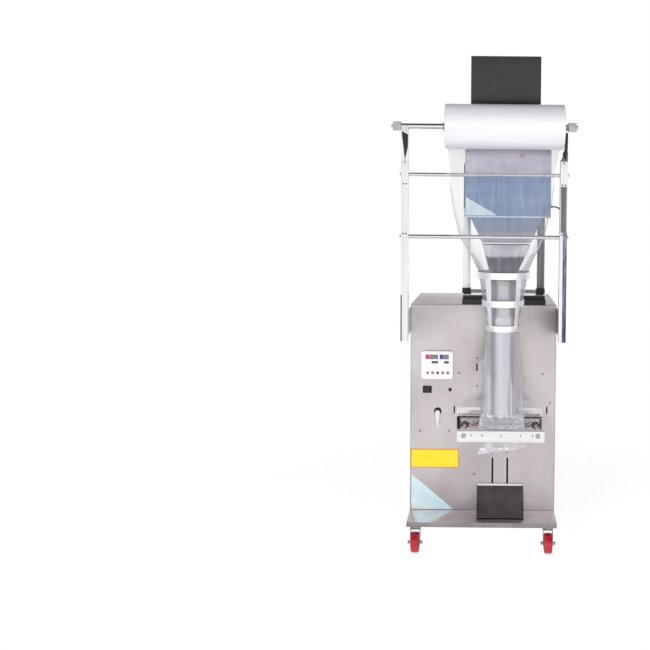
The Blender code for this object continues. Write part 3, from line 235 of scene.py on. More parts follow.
# The forming tube is polished along its length: a softer mirror than chrome, with faint upright streaks.
TUBE_CHROME = metal("polished_stainless_tube", (90.0, 90.0, 2.0), 1.0,
    [(0.35, "D4D1D9"), (0.52, "DFDCE3"), (0.68, "E8E5EB")], (0.3, 0.4))
# Bright zinc plate: a thin, slightly cloudy coat on pressed steel.
ZINC = even("bright_zinc_plated_steel", 60.0, "A9A9AA", "CFCFD0", (0.28, 0.42), Metallic=1.0)
# Screw heads: bare steel with rests of black oxide, so each head is a little mottled.
SCREW_STEEL = even("black_oxide_and_steel_screw", 300.0, "8A8684", "C7C2C0", (0.25, 0.4), 0.1, Metallic=1.0)
print("metals:", ", ".join(m.name for m in (STAINLESS, PLATE, ALUMINIUM, CHROME, ZINC)))

# %% [markdown]
# ## Paint and plastic
# The hopper and the discharge chute are sheet whose dark, soft brown-grey reflections are painted into its
# colour. The weigher's case is powder coated: a fine orange peel, 1 to 2 mm from peak to peak.

# %% Sheet with painted dark reflection, powder coat, moulded plastics, polyurethane
def dark_mirror_sheet(name, stops, rough):
    """Sheet whose dark reflection is painted into a soft colour below, with a sharper shine from a clear coat
    on top.
    """
    return patterned(name, (1.0, 1.0, 0.4), 9.0, stops, rough, Coat_Weight=0.4, Coat_Roughness=0.12)


DARK_REFLECTION_SHEET = dark_mirror_sheet("sheet_painted_dark_reflection", [(0.32, "110F0F"), (0.52, "181515"), (0.72, "211D1D")],
    (0.24, 0.36))
# On the chute the painted dark reflection is greyer, and the sheet a little duller.
CHUTE_REFLECTION_SHEET = dark_mirror_sheet("chute_sheet_painted_dark_reflection", [(0.32, "342F2F"), (0.52, "403B3B"),
    (0.72, "4C4747")], (0.26, 0.38))
BLUE_COAT = patterned("blue_powder_coated_steel", (1.6, 1.0, 5.0), 2.6,
    [(0.3, "4E6C93"), (0.5, "5D7EA6"), (0.72, "7390B6")], (0.3, 0.4), bump=0.05)
LAVENDER_COAT = patterned("lavender_grey_powder_coated_steel", (1.0, 1.0, 4.0), 5.0,
    [(0.32, "B4ADBD"), (0.5, "C9C3D0"), (0.7, "DAD5E0")], (0.3, 0.42), bump=0.05)
# Moulded plastics: a fine pimpled skin keeps black nylon from shining, and the white keypad is smoother.
BLACK = even("black_moulded_nylon", 900.0, "161616", "232323", (0.38, 0.52), bump=0.12)
WHITE = even("white_polycarbonate_keypad", 500.0, "E9E9EE", "F4F4F7", (0.26, 0.34), bump=0.04, IOR=1.58)
# Cast polyurethane wheels: deep red right through, with rubbed paler patches on the tread.
POLYURETHANE = patterned("red_cast_polyurethane", (1.0, 1.0, 1.0), 45.0,
    [(0.3, "8C0C1D"), (0.52, "B3172B"), (0.74, "C62C40")], (0.22, 0.36), bump=0.06, Coat_Weight=0.3)
# The wheel's dished sides take a darker red: painted shade, where the fork shades them.
WHEEL_SIDE_SHADE = even("wheel_centre_painted_shade", 60.0, "6C0A18", "8E1224", (0.35, 0.5))
# Silicone and PVC skins are soft and matt. The key caps are dyed right through, so they look flat.
SILICONE_RED = even("red_silicone_wire", 400.0, "B11726", "D93446", (0.35, 0.45))
CABLE_RUBBER = even("black_pvc_cable_sheath", 500.0, "141414", "202020", (0.4, 0.52), bump=0.1)
KEY_RED = even("dark_red_moulded_key", 300.0, "84323E", "95424C", (0.35, 0.45), 0.1)
KEY_ROSE = even("rose_moulded_key", 300.0, "A66472", "B47884", (0.35, 0.45), 0.1)
KEY_GREY = even("grey_moulded_key", 300.0, "85707E", "95818E", (0.35, 0.45), 0.1)
print("plastics and paints ready")

# %% [markdown]
# ## Film
# Clear polyethylene is a few hundredths of a millimetre thick. Flat to the eye it is almost invisible, and
# where it turns away or is creased it goes milky and catches white streaks. Layer Weight gives the first, and
# upright noise, 10 to 20 mm wide, gives the creases; the creases' whiter colour is partly milkiness and
# partly a painted highlight. On the roll many turns make it white.

# %% Clear film and wound film
def clear_film(name, thin, thick, crease_scale, tint_and_highlight=("CFCDD4", "F6F6FA")):
    """Film that hides least between its creases and most in them; tint_and_highlight is its colour in the
    two, and the lighter colour in the creases is partly a painted highlight.
    """
    made, tree, shader, place = new_finish(name, Roughness=0.16, IOR=1.5)
    creases = cloud(tree, stretched(tree, place, crease_scale), 1.0, 4.0, Distortion=0.6)
    tree.links.new(ramp(tree, creases, [(0.4, tint_and_highlight[0]), (0.62, tint_and_highlight[1])]), shader.inputs["Base Color"])
    edge = add(tree, "ShaderNodeLayerWeight", {"Blend": 0.35}).outputs["Facing"]
    inputs = {0: edge, 1: 0.42, 2: mapped(tree, creases, 0.56, 0.76, thin, thick)}
    cover = add(tree, "ShaderNodeMath", inputs, operation="MULTIPLY_ADD", use_clamp=True)
    tree.links.new(cover.outputs[0], shader.inputs["Alpha"])
    return made


WEB_FILM = clear_film("clear_polyethylene_web", 0.13, 0.17, (70.0, 10.0, 5.0), ("B0AFB6", "C8C7CE"))
TUBE_FILM = clear_film("clear_polyethylene_tube", 0.09, 0.34, (60.0, 30.0, 4.0))
CREASED_FILM = clear_film("crumpled_polyethylene", 0.3, 0.85, (70.0, 70.0, 45.0))
SEAL_FILM = clear_film("heat_sealed_polyethylene", 0.55, 0.9, (60.0, 60.0, 160.0))
WOUND = patterned("wound_polyethylene_roll", (0.8, 9.0, 9.0), 1.0, [(0.3, "CFCFD6"), (0.5, "DADADF"),
    (0.7, "E3E3E7")], (0.3, 0.4), Coat_Weight=0.15)
print("film:", WEB_FILM.name, TUBE_FILM.name, WOUND.name)

# %% [markdown]
# ## Plain labels and displays
# The machine has coloured plates. They are left without any words: a yellow plate with an orange rim,
# a pale blue corner, and small coloured display windows behind the keypad's skin.

# %% Label inks and display windows
YELLOW = even("yellow_vinyl_label", 40.0, "F3CF1C", "F8DE2E", (0.3, 0.38), 0.2)
ORANGE = even("orange_vinyl_border", 40.0, "D8511F", "E2632C", (0.3, 0.38), 0.2)
PALE_BLUE = patterned("pale_blue_vinyl_label", (1.0, 1.0, 1.0), 9.0, [(0.3, "ACD0DC"), (0.5, "CADEE3"),
    (0.7, "E6EDEC")], (0.28, 0.36))
# Windows of clear moulded plastic over an inked back: the smoothest skin on the keypad.
WINDOW_GREY, WINDOW_DARK, WINDOW_ROSE, WINDOW_RED, WINDOW_BLUE = [
    even(f"{shade}_display_window", 300.0, dark, light, (0.12, 0.2), 0.1)
    for shade, dark, light in (
        ("smoked", "6E6B74", "7C7982"),
        ("dark", "4C4850", "5A565E"),
        ("rose", "C48A9C", "D39DAD"),
        ("red", "C22A3A", "D5404F"),
        ("blue", "31358F", "4347A5"),
    )
]
print("labels ready")

# %% [markdown]
# ## Helpers for shapes
# Sheet metal has no knife edges. `softened` copies a frame node, merges its loose triangles, rounds
# its edges and stands for it. `lathe_shape` spins a profile, `plate_shape` gives thickness to a flat
# outline, `box_shape` is a block with eased edges, and `piece` makes a finished piece of such shapes.

# %% Making pieces
def settle(name, data, finish, body, replaces=(), slot=None, angle=35.0):
    """A finished piece at the origin: smooth but for its sharp edges, on a body; its slot is worked out but
    not kept.
    """
    if finish is not None:
        data.materials.clear()
        data.materials.append(finish)
    data.shade_smooth()
    data.set_sharp_from_angle(angle=radians(angle))
    made = bpy.data.objects.new(name, data)
    bpy.context.scene.collection.objects.link(made)
    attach(made, body)
    if replaces:
        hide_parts(*replaces)
        slot = slot or SLOT_OF[replaces[0]]
    return made


def second_finish(made, finish, chosen):
    """Give a piece one more finish, on the faces that are chosen."""
    made.data.materials.append(finish)
    for face in made.data.polygons:
        if chosen(face):
            face.material_index = len(made.data.materials) - 1


def as_mesh(name, shape):
    data = bpy.data.meshes.new(name)
    shape.to_mesh(data)
    shape.free()
    return data


def rounded(shape, width, segments=2, angle=30.0):
    """Round the sharp edges of a bmesh."""
    shape.normal_update()
    sharp = [e for e in shape.edges if len(e.link_faces) == 2 and e.calc_face_angle() > radians(angle)]
    bmesh.ops.bevel(shape, geom=sharp, offset=width, segments=segments, affect="EDGES", profile=0.6,
        clamp_overlap=True)
    return shape


def merged_copy(node):
    """A node's mesh with its loose triangles merged and its flat faces made whole."""
    shape = bmesh.new()
    shape.from_mesh(NODES[node].data)
    bmesh.ops.remove_doubles(shape, verts=shape.verts, dist=0.00002)
    bmesh.ops.dissolve_limit(shape, angle_limit=radians(1.0), verts=shape.verts, edges=shape.edges)
    return shape


def softened(node, finish, width=0.0008, segments=2):
    shape = rounded(merged_copy(node), width, segments)
    return settle(f"{node}_finished", as_mesh(node, shape), finish, BODY_OF[node], [node])


def box_shape(low, high, width=0.0, segments=2):
    shape = bmesh.new()
    bmesh.ops.create_cube(shape, size=1.0)
    low, high = Vector(low), Vector(high)
    bmesh.ops.scale(shape, vec=high - low, verts=shape.verts)
    bmesh.ops.translate(shape, vec=(low + high) / 2, verts=shape.verts)
    return rounded(shape, width, segments) if width else shape


def slab(left, right, low, high, plane, out, back=0.0001, ease=0.0004):
    """A thin upright block before a plane that faces -Y; a minus puts a face behind the plane."""
    return box_shape((left, plane - out, low), (right, plane - back, high), ease)


def lathe_shape(profile, centre, axis, steps=64):
    """Spin (radius, height) points about an axis; a closed profile makes a closed ring."""
    shape = bmesh.new()
    rows, angles = [], [2 * pi * i / steps for i in range(steps)]
    for radius, height in profile:
        if radius < 1e-6:
            rows.append([shape.verts.new((0, 0, height))] * steps)
        else:
            rows.append([shape.verts.new((radius * cos(angle), radius * sin(angle), height))
                for angle in angles])
    pairs = list(zip(rows, rows[1:]))
    if profile[0][0] > 1e-6:
        pairs.append((rows[-1], rows[0]))
    for upper, lower in pairs:
        for i in range(steps):
            j = (i + 1) % steps
            corners = list(dict.fromkeys((upper[i], upper[j], lower[j], lower[i])))
            if len(corners) > 2:
                shape.faces.new(corners)
    turn = Vector((0, 0, 1)).rotation_difference(Vector(axis)).to_matrix().to_4x4()
    bmesh.ops.transform(shape, matrix=Matrix.Translation(centre) @ turn, verts=shape.verts)
    bmesh.ops.recalc_face_normals(shape, faces=shape.faces)
    return shape


def plate_shape(outline, thickness, place, width=0.0):
    """A flat outline given thickness along +Z and then placed."""
    shape = bmesh.new()
    low = [shape.verts.new((x, y, 0)) for x, y in outline]
    high = [shape.verts.new((x, y, thickness)) for x, y in outline]
    shape.faces.new(low[::-1])
    shape.faces.new(high)
    for i in range(len(low)):
        j = (i + 1) % len(low)
        shape.faces.new((low[i], low[j], high[j], high[i]))
    bmesh.ops.recalc_face_normals(shape, faces=shape.faces)
    if width:
        rounded(shape, width, 2)
    bmesh.ops.transform(shape, matrix=place, verts=shape.verts)
    return shape


def upright(y):
    """Stand an XY outline up as an XZ plate whose back lies on the plane y, facing -Y."""
    return Matrix.Translation((0, y, 0)) @ Matrix.Rotation(pi / 2, 4, "X")


def rounded_outline(left, right, low, high, radius, steps=6):
    points = []
    for x, z, start in ((right, high, 0), (left, high, 90), (left, low, 180), (right, low, 270)):
        centre_x = x - radius if x == right else x + radius
        centre_z = z - radius if z == high else z + radius
        for step in range(steps + 1):
            angle = radians(start + 90 * step / steps)
            points.append((centre_x + radius * cos(angle), centre_z + radius * sin(angle)))
    return points


def together(*shapes):
    """Several bmeshes as one."""
    whole = bmesh.new()
    for shape in shapes:
        data = as_mesh("part", shape)
        whole.from_mesh(data)
        bpy.data.meshes.remove(data)
    return whole


def piece(name, shapes, finish, body="frame", replaces=(), slot=None):
    """One shape, or a list of them, as one finished piece."""
    shape = together(*shapes) if isinstance(shapes, list) else shapes
    return settle(name, as_mesh(name, shape), finish, body, replaces, slot)


print("shape helpers ready")

# %% [markdown]
# ## Cables
# Two black leads, 4.5 mm thick and half a metre long, leave glands on the weigher's side, fall in a bow
# behind the right arm and go into glands on the cabinet. Each is one curve through the frame's route.

# %% Two cables
def smooth_route(route, spacing):
    """Evenly spaced points on a smooth curve through the route's own points."""
    points = [Vector(point) for point in route]
    ends = [points[0] * 2 - points[1], *points, points[-1] * 2 - points[-2]]
    fine = []
    for before, start, end, after in zip(ends, ends[1:], ends[2:], ends[3:]):
        for step in range(20):
            t = step / 20
            straight = 2 * start + (end - before) * t
            bend = (2 * before - 5 * start + 4 * end - after) * t * t
            twist = (3 * start - before - 3 * end + after) * t**3
            fine.append((straight + bend + twist) / 2)
    fine.append(points[-1])
    lengths = np.array([0.0] + [(b - a).length for a, b in zip(fine, fine[1:])]).cumsum()
    wanted = np.linspace(0.0, lengths[-1], round(lengths[-1] / spacing) + 1)
    table = np.array([list(p) for p in fine])
    return [[float(np.interp(w, lengths, table[:, k])) for k in range(3)] for w in wanted], float(lengths[-1])


def cable(name, start_y, end_y, bulge):
    cabinet_side, gland = 0.28, 0.0053
    route = [(0.2513, start_y, 1.3), (0.263, start_y, 1.3005), (0.278, start_y + 0.003, 1.294),
        (0.292, start_y + 0.014, 1.27), (0.303 + bulge, start_y + 0.045, 1.21),
        (0.307 + bulge, start_y + 0.085, 1.12), (0.307 + bulge, start_y + 0.13, 1.03),
        (0.306, end_y - 0.02, 0.96), (0.305, end_y - 0.004, 0.915), (0.3055, end_y, 0.902),
        (0.304, end_y, 0.888), (0.2985, end_y, 0.88), (0.292, end_y, 0.8799),
        (cabinet_side + gland, end_y, 0.88)]
    points, length = smooth_route(route, 0.0135)
    curve = bpy.data.curves.new(name, "CURVE")
    curve.dimensions = "3D"
    curve.bevel_depth = 0.00225
    curve.bevel_resolution = 5
    curve.use_fill_caps = True
    spline = curve.splines.new("NURBS")
    spline.points.add(len(points) - 1)
    for point, place in zip(spline.points, points):
        point.co = (*place, 1.0)
    spline.order_u = 4
    spline.use_endpoint_u = True
    curve.materials.append(CABLE_RUBBER)
    made = bpy.data.objects.new(name, curve)
    bpy.context.scene.collection.objects.link(made)
    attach(made, "frame")
    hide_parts(name.replace("_lead", ""))
    print(name, "is", round(length, 3), "m long")
    return made


cable("weigher_cable_power_lead", FRONT - 0.104, FRONT + 0.09, 0.003)
cable("weigher_cable_signal_lead", FRONT - 0.088, FRONT + 0.108, 0.0)

# %% [markdown]
# ## Cabinet
# The cabinet's shell, front panel and base plate are folded sheet, so their edges are eased by the
# bending radius, near 1 mm. The plate below is thicker and its rim is rounder.

# %% Cabinet, base plate and door
for node, finish, width in (
    ("cabinet_shell", STAINLESS, 0.0012),
    ("front_panel", STAINLESS, 0.0003),
    ("base_plate", PLATE, 0.002),
    ("rear_door", STAINLESS, 0.0008),
):
    softened(node, finish, width)
# The base plate's upright faces take the darker edge finish: painted shade.
second_finish(bpy.data.objects["base_plate_finished"], PLATE_EDGE_SHADE, lambda face: abs(face.normal.z) < 0.5)
print("cabinet done")

# %% [markdown]
# ## Screws
# A machine like this has dozens of screws, all alike, so one Geometry Nodes tree makes them: a domed
# head with a hexagon socket cut into it, set on every vertex of a mesh of points and turned to face out.

# %% The screw tree
def open_tree(name, *rows):
    """A tree that takes points, a finish and what its (label, kind, default) rows ask for."""
    tree = bpy.data.node_groups.new(name, "GeometryNodeTree")
    identifiers = {}
    for label, kind, default in (("Points", "Geometry", None), *rows, ("Finish", "Material", None)):
        socket = tree.interface.new_socket(name=label, in_out="INPUT", socket_type=f"NodeSocket{kind}")
        if default is not None:
            socket.default_value = default
        identifiers[label] = socket.identifier
    tree.interface.new_socket(name="Made", in_out="OUTPUT", socket_type="NodeSocketGeometry")
    return tree, add(tree, "NodeGroupInput").outputs, identifiers


def close_tree(tree, given, geometry):
    """Make the result real, give it its finish and send it out."""
    real = add(tree, "GeometryNodeRealizeInstances", {"Geometry": geometry}).outputs["Geometry"]
    coated = add(tree, "GeometryNodeSetMaterial", {"Geometry": real, "Material": given["Finish"]})
    tree.links.new(coated.outputs["Geometry"], add(tree, "NodeGroupOutput").inputs["Made"])


def lifted(tree, shape, height):
    """A mesh node's mesh, moved up."""
    up = add(tree, "ShaderNodeCombineXYZ", {"Z": height}).outputs[0]
    inputs = {"Geometry": shape.outputs["Mesh"], "Translation": up}
    return add(tree, "GeometryNodeTransform", inputs).outputs["Geometry"]


def screw_tree():
    """Domed heads, each with a hexagon socket."""
    tree, given, identifiers = open_tree(
        "socket_screws_on_points",
        ("Head radius", "Float", 0.004),
        ("Head height", "Float", 0.002),
        ("Socket radius", "Float", 0.0017),
        ("Facing", "Vector", (0.0, -1.0, 0.0)),
    )
    wide, tall = given["Head radius"], given["Head height"]
    half, quarter = worked(tree, "MULTIPLY", tall, 0.5), worked(tree, "MULTIPLY", tall, 0.25)
    skirt = add(tree, "GeometryNodeMeshCylinder", {"Vertices": 20, "Radius": wide, "Depth": half})
    crown = {"Vertices": 20, "Radius Top": worked(tree, "MULTIPLY", wide, 0.72), "Radius Bottom": wide}
    dome = add(tree, "GeometryNodeMeshCone", {**crown, "Depth": half})
    hexagon = {"Vertices": 6, "Radius": given["Socket radius"], "Depth": tall}
    cutter = lifted(tree, add(tree, "GeometryNodeMeshCylinder", hexagon), tall)
    head = add(tree, "GeometryNodeMeshBoolean", operation="UNION")
    tree.links.new(lifted(tree, skirt, quarter), head.inputs["Mesh 2"])
    tree.links.new(lifted(tree, dome, half), head.inputs["Mesh 2"])
    inputs = {"Mesh 1": head.outputs["Mesh"], "Mesh 2": cutter}
    socketed = add(tree, "GeometryNodeMeshBoolean", inputs, operation="DIFFERENCE").outputs["Mesh"]
    turn = add(tree, "FunctionNodeAlignRotationToVector", {"Vector": given["Facing"]}, axis="Z")
    inputs = {"Points": given["Points"], "Instance": socketed, "Rotation": turn.outputs["Rotation"]}
    close_tree(tree, given, add(tree, "GeometryNodeInstanceOnPoints", inputs).outputs["Instances"])
    return tree, identifiers


SCREWS = screw_tree()


def run_tree(name, points, tree_and_inputs, values, body, slot):
    """Run a tree on a mesh of points and keep its result as a plain mesh on a body."""
    tree, identifiers = tree_and_inputs
    carrier_mesh = bpy.data.meshes.new(name + "_points")
    edges = [(i, i + 1) for i in range(len(points) - 1)] if values.pop("joined", False) else []
    carrier_mesh.from_pydata([tuple(p) for p in points], edges, [])
    carrier = bpy.data.objects.new(name + "_points", carrier_mesh)
    bpy.context.scene.collection.objects.link(carrier)
    modifier = carrier.modifiers.new("tree", "NODES")
    modifier.node_group = tree
    for label, value in values.items():
        modifier[identifiers[label]] = value
    bpy.context.view_layer.update()
    done = carrier.evaluated_get(bpy.context.evaluated_depsgraph_get())
    data = bpy.data.meshes.new_from_object(done)
    finish = values["Finish"]
    bpy.data.objects.remove(carrier)
    bpy.data.meshes.remove(carrier_mesh)
    return settle(name, data, finish, body, slot=slot)


def screws(name, points, head=0.0038, height=0.0018, key=0.0017, finish=SCREW_STEEL, slot="zinc",
        body="frame"):
    """Screws that face the operator, their heads on the points."""
    values = {"Head radius": head, "Head height": height, "Socket radius": key, "Facing": (0.0, -1.0, 0.0),
        "Finish": finish}
    made = run_tree(name, points, SCREWS, values, body, slot)
    print(name, len(points), "screws,", len(made.data.polygons), "faces")


PANEL_SCREWS = ((-0.243, 0.431), (-0.13, 0.432), (-0.093, 0.658), (0.229, 0.657), (-0.024, 0.717),
    (-0.023, 0.608), (-0.032, 0.264), (0.259, 0.545))
screws("front_panel_screws", [(x, FRONT, z) for x, z in PANEL_SCREWS], head=0.0045)
guard_y = FRONT - 0.0012
guard = [box_shape((-0.101, guard_y, 0.4925), (0.229, FRONT - 0.0001, 0.5255), 0.0004),
    slab(-0.101, 0.229, 0.4915, 0.493, guard_y, 0.004, -0.0006, 0.0005)]
piece("jaw_guard_plate", guard, PLATE, slot="stainless")
screws("jaw_guard_screws", [(x, guard_y, 0.499) for x in (-0.09, 0.218)], head=0.0034)
sensor = slab(-0.0272, -0.021, 0.6675, 0.6955, FRONT, 0.0014)
piece("film_mark_sensor", sensor, BLACK, slot="black_plastic")
# A black plate behind the chute's slots is painted shade: it makes the slots look dark inside.
slot_shade_backing = slab(0.028, 0.108, 0.19, 0.335, FRONT, -0.0155, -0.0165, 0.0003)
piece("slot_painted_shade_backing", slot_shade_backing, BLACK, slot="black_plastic")
screws("front_jaw_screws", [(x, JAW_LOW.y, 0.4705) for x in (-0.0405, -0.001, 0.069, 0.139, 0.183)],
    head=0.0032, height=0.0014, key=0.0014, body="front_jaw_carriage")

# %% [markdown]
# ## Casters
# A pressed fork: a crown plate under the swivel race and two legs that lean back to the axle, with
# domed nuts outside. The wheel is cast in one piece, with eased shoulders and a dished centre.

# %% Four casters
SHADED_CENTRE_RADIUS = 0.0298
for place in ("front_left", "front_right", "rear_left", "rear_right"):
    wheel_low, wheel_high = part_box(f"caster_{place}_wheel")
    middle = (wheel_low + wheel_high) / 2
    half, radius = (wheel_high.x - wheel_low.x) / 2, (wheel_high.z - wheel_low.z) / 2
    profile = [(0.0043, half - 0.0004), (0.012, half - 0.0004), (0.013, half - 0.003), (0.0285, half - 0.003),
        (0.03, half), (radius - 0.0045, half), (radius - 0.0018, half - 0.0014),
        (radius - 0.0004, half - 0.004), (radius, half - 0.008)]
    full = profile + [(r, -h) for r, h in reversed(profile)]
    wheel = piece(f"caster_{place}_tyre", lathe_shape(full, middle, (1, 0, 0), 64), POLYURETHANE,
        f"{place}_wheel", [f"caster_{place}_wheel"])
    # The dished centre on each side gets the darker red: painted shade.
    second_finish(wheel, WHEEL_SIDE_SHADE, lambda face: (face.center - middle).yz.length < SHADED_CENTRE_RADIUS)
    softened(f"caster_{place}_fork", ZINC, 0.0006)
print("casters done")

# %% [markdown]
# ## Controls
# The keypad is a rounded white moulding with two rows of display windows. The windows are thin smoked
# tiles, each with upright bars behind it, and the five keys below are domed.

# %% Keypad, windows, keys, rocker, fuse and latch
panel_low, panel_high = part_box("control_panel")
outline = rounded_outline(panel_low.x, panel_high.x, panel_low.z, panel_high.z, 0.01)
keypad = merged_copy("control_panel")
corner_edges = [e for e in keypad.edges if abs(e.verts[0].co.y - e.verts[1].co.y) > 0.008
    and all(abs(v.co.x - (panel_low.x + panel_high.x) / 2) > 0.055 for v in e.verts)
    and all(abs(v.co.z - (panel_low.z + panel_high.z) / 2) > 0.05 for v in e.verts)]
bmesh.ops.bevel(keypad, geom=corner_edges, offset=0.009, segments=6, affect="EDGES", profile=0.5)
rounded(keypad, 0.001, 2, 50.0)
piece("control_panel_keypad", keypad, WHITE, "frame", ["control_panel"])

window_y = panel_low.y + 0.0014
for name, left, right, low, high, finish in (
    ("red", -0.2215, -0.2068, 0.7125, 0.7305, WINDOW_RED),
    ("grey_left", -0.206, -0.173, 0.7125, 0.7305, WINDOW_GREY),
    ("blue", -0.1675, -0.1527, 0.7125, 0.7305, WINDOW_BLUE),
    ("grey_right", -0.152, -0.1323, 0.7125, 0.7305, WINDOW_GREY),
    ("brown", -0.198, -0.173, 0.6962, 0.7057, WINDOW_DARK),
    ("dark", -0.1508, -0.1323, 0.6962, 0.7057, WINDOW_DARK),
):
    tile = plate_shape(rounded_outline(left, right, low, high, 0.0012, 3), 0.0007, upright(window_y), 0.0002)
    bars = []
    count = max(2, round((right - left) / 0.0055))
    for index in range(count):
        x = left + (right - left) * (index + 0.5) / count
        bars.append(slab(x - 0.001, x + 0.001, low + 0.003, high - 0.003, window_y, 0.001, 0.0006, 0.0001))
    piece(f"display_window_{name}", [tile, *bars], finish, slot="white_plastic")
for index in range(1, 6):
    low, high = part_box(f"panel_button_{index}")
    centre = ((low.x + high.x) / 2, high.y, (low.z + high.z) / 2)
    depth, radius = high.y - low.y, (high.x - low.x) / 2
    cap = [(0, depth), (radius * 0.55, depth - 0.0001), (radius * 0.85, depth - 0.0006),
        (radius, depth - 0.0016), (radius, 0), (0, 0)]
    piece(f"key_cap_{index}", lathe_shape(cap, centre, (0, -1, 0), 32),
        (KEY_ROSE, KEY_ROSE, KEY_RED, KEY_GREY, KEY_GREY)[index - 1], f"button_{index}",
        [f"panel_button_{index}"])
for node, finish, width in (
    ("rocker_frame", BLACK, 0.0006),
    ("rocker_switch", BLACK, 0.0005),
    ("fuse_holder", BLACK, 0.0003),
    ("latch_base", BLACK, 0.0004),
    ("latch_lever", CHROME, 0.0012),
):
    softened(node, finish, width)
print("controls done")

# %% [markdown]
# ## Coloured plates
# Vinyl labels are a tenth of a millimetre thick. They are drawn 0.4 mm thick, so that their rims catch
# some light. They carry no words and no picture.

# %% Yellow plate and blue corner
skin = 0.0004
label_left, label_right, label_low, label_high = -0.2775, -0.0912, 0.2875, 0.361
rim = plate_shape(rounded_outline(label_left, label_right, label_low, label_high, 0.003), skin,
    upright(FRONT), 0.0001)
piece("yellow_plate_rim", rim, ORANGE, slot="white_plastic")
inset = 0.0028
sheet_face = plate_shape(rounded_outline(label_left + inset, label_right - inset, label_low + inset,
    label_high - inset, 0.002), skin, upright(FRONT - skin), 0.0001)
piece("yellow_plate_face", sheet_face, YELLOW, slot="white_plastic")
corner = [(-0.2745, 0.125), (-0.111, 0.125), (-0.2745, 0.2625)]
piece("blue_corner_plate", plate_shape(corner, skin, upright(FRONT), 0.0001), PALE_BLUE, slot="white_plastic")
print("coloured plates done")

# %% [markdown]
# ## Jaws
# The front jaw is a bright aluminium bar with round bosses over its two guide rods. Behind it the rear
# jaw carries the heater, whose red silicone wires show beside the black bushes.

# %% Jaws, bosses, bushes and wires
softened("front_jaw", JAW_ALUMINIUM, 0.001)
softened("rear_jaw", ZINC, 0.0006)
softened("jaw_yoke", CHROME, 0.0005)
rod_z = (JAW_LOW.z + JAW_HIGH.z) / 2
bosses = [lathe_shape([(0, 0.003), (0.005, 0.003), (0.0056, 0.0022), (0.0082, 0.0022), (0.009, 0.0014),
    (0.009, 0), (0, 0)], (x, JAW_LOW.y, rod_z + 0.003), (0, -1, 0), 40) for x in JAW_ROD_X]
piece("front_jaw_bosses", bosses, ZINC, "front_jaw_carriage", slot="aluminium")
rear_low, rear_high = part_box("rear_jaw")
bushes = [lathe_shape([(0.009, 0.0012), (0.0135, 0.0012), (0.015, 0.0004), (0.015, -0.002), (0.009, -0.002)],
    (x, rear_low.y + 0.001, rod_z), (0, -1, 0), 40) for x in JAW_ROD_X]
end_low, end_high = rear_low.z + 0.0008, rear_high.z - 0.0008
spans = ((rear_low.x + 0.0004, -0.0835), (0.2175, rear_high.x - 0.0004))
ends = [slab(low_x, high_x, end_low, end_high, rear_low.y, 0.0006, ease=0.0002) for low_x, high_x in spans]
piece("rear_jaw_ends", ends, BLACK, "rear_jaw_carriage", slot="black_plastic")
piece("rear_jaw_bushes", bushes, BLACK, "rear_jaw_carriage", slot="black_plastic")


def wire_tree():
    """A round wire that follows a line of points."""
    tree, given, identifiers = open_tree("wire_along_points", ("Wire radius", "Float", 0.0011))
    line = add(tree, "GeometryNodeMeshToCurve", {"Mesh": given["Points"]})
    smooth = add(tree, "GeometryNodeResampleCurve", {"Curve": line.outputs["Curve"], "Count": 40})
    ring = add(tree, "GeometryNodeCurvePrimitiveCircle", {"Resolution": 10, "Radius": given["Wire radius"]})
    inputs = {"Curve": smooth.outputs["Curve"], "Profile Curve": ring.outputs["Curve"], "Fill Caps": True}
    close_tree(tree, given, add(tree, "GeometryNodeCurveToMesh", inputs).outputs["Mesh"])
    return tree, identifiers


WIRES = wire_tree()
wire_y = rear_low.y - 0.0002
for name, ends in (
    ("left_upper", ((-0.0545, 0.472), (-0.04, 0.466), (-0.026, 0.47), (-0.014, 0.469))),
    ("left_lower", ((-0.055, 0.461), (-0.044, 0.459), (-0.03, 0.464), (-0.018, 0.462))),
    ("right_upper", ((0.164, 0.47), (0.174, 0.4725), (0.182, 0.468), (0.1885, 0.472))),
    ("right_lower", ((0.162, 0.462), (0.172, 0.46), (0.18, 0.463), (0.188, 0.461))),
):
    points, _ = smooth_route([(x, wire_y, z) for x, z in ends], 0.002)
    run_tree(f"heater_wire_{name}", points, WIRES, {"Wire radius": 0.0011, "Finish": SILICONE_RED,
        "joined": True}, "rear_jaw_carriage", "cable")
print("jaws done")

# %% [markdown]
# ## Forming tube and cage
# The film is shaped between a polished tube and a cage of three bright rings, which two flat straps in
# front and two behind hold together. All are turned or bent from sheet, so they are spun smooth.

# %% Tube, rings, straps and funnel
wall = 0.0015
tube_radius = (TUBE_HIGH.x - TUBE_LOW.x) / 2
piece("forming_tube_polished", lathe_shape([(tube_radius, TUBE_HIGH.z), (tube_radius, TUBE_LOW.z),
    (tube_radius - wall, TUBE_LOW.z), (tube_radius - wall, TUBE_HIGH.z)], (LINE_X, LINE_Y, 0), (0, 0, 1), 96),
    TUBE_CHROME, "frame", ["forming_tube"])
RINGS = ((1.036, 1.06, 0.098), (0.933, 0.957, 0.079), (0.842, 0.864, 0.062))
cage = []
for low, high, radius in RINGS:
    ease = 0.0008
    cage.append(lathe_shape([(radius - ease, high), (radius, high - ease), (radius, low + ease),
        (radius - ease, low), (radius - 0.0025, low), (radius - 0.0025, high)], (LINE_X, LINE_Y, 0),
        (0, 0, 1), 96))


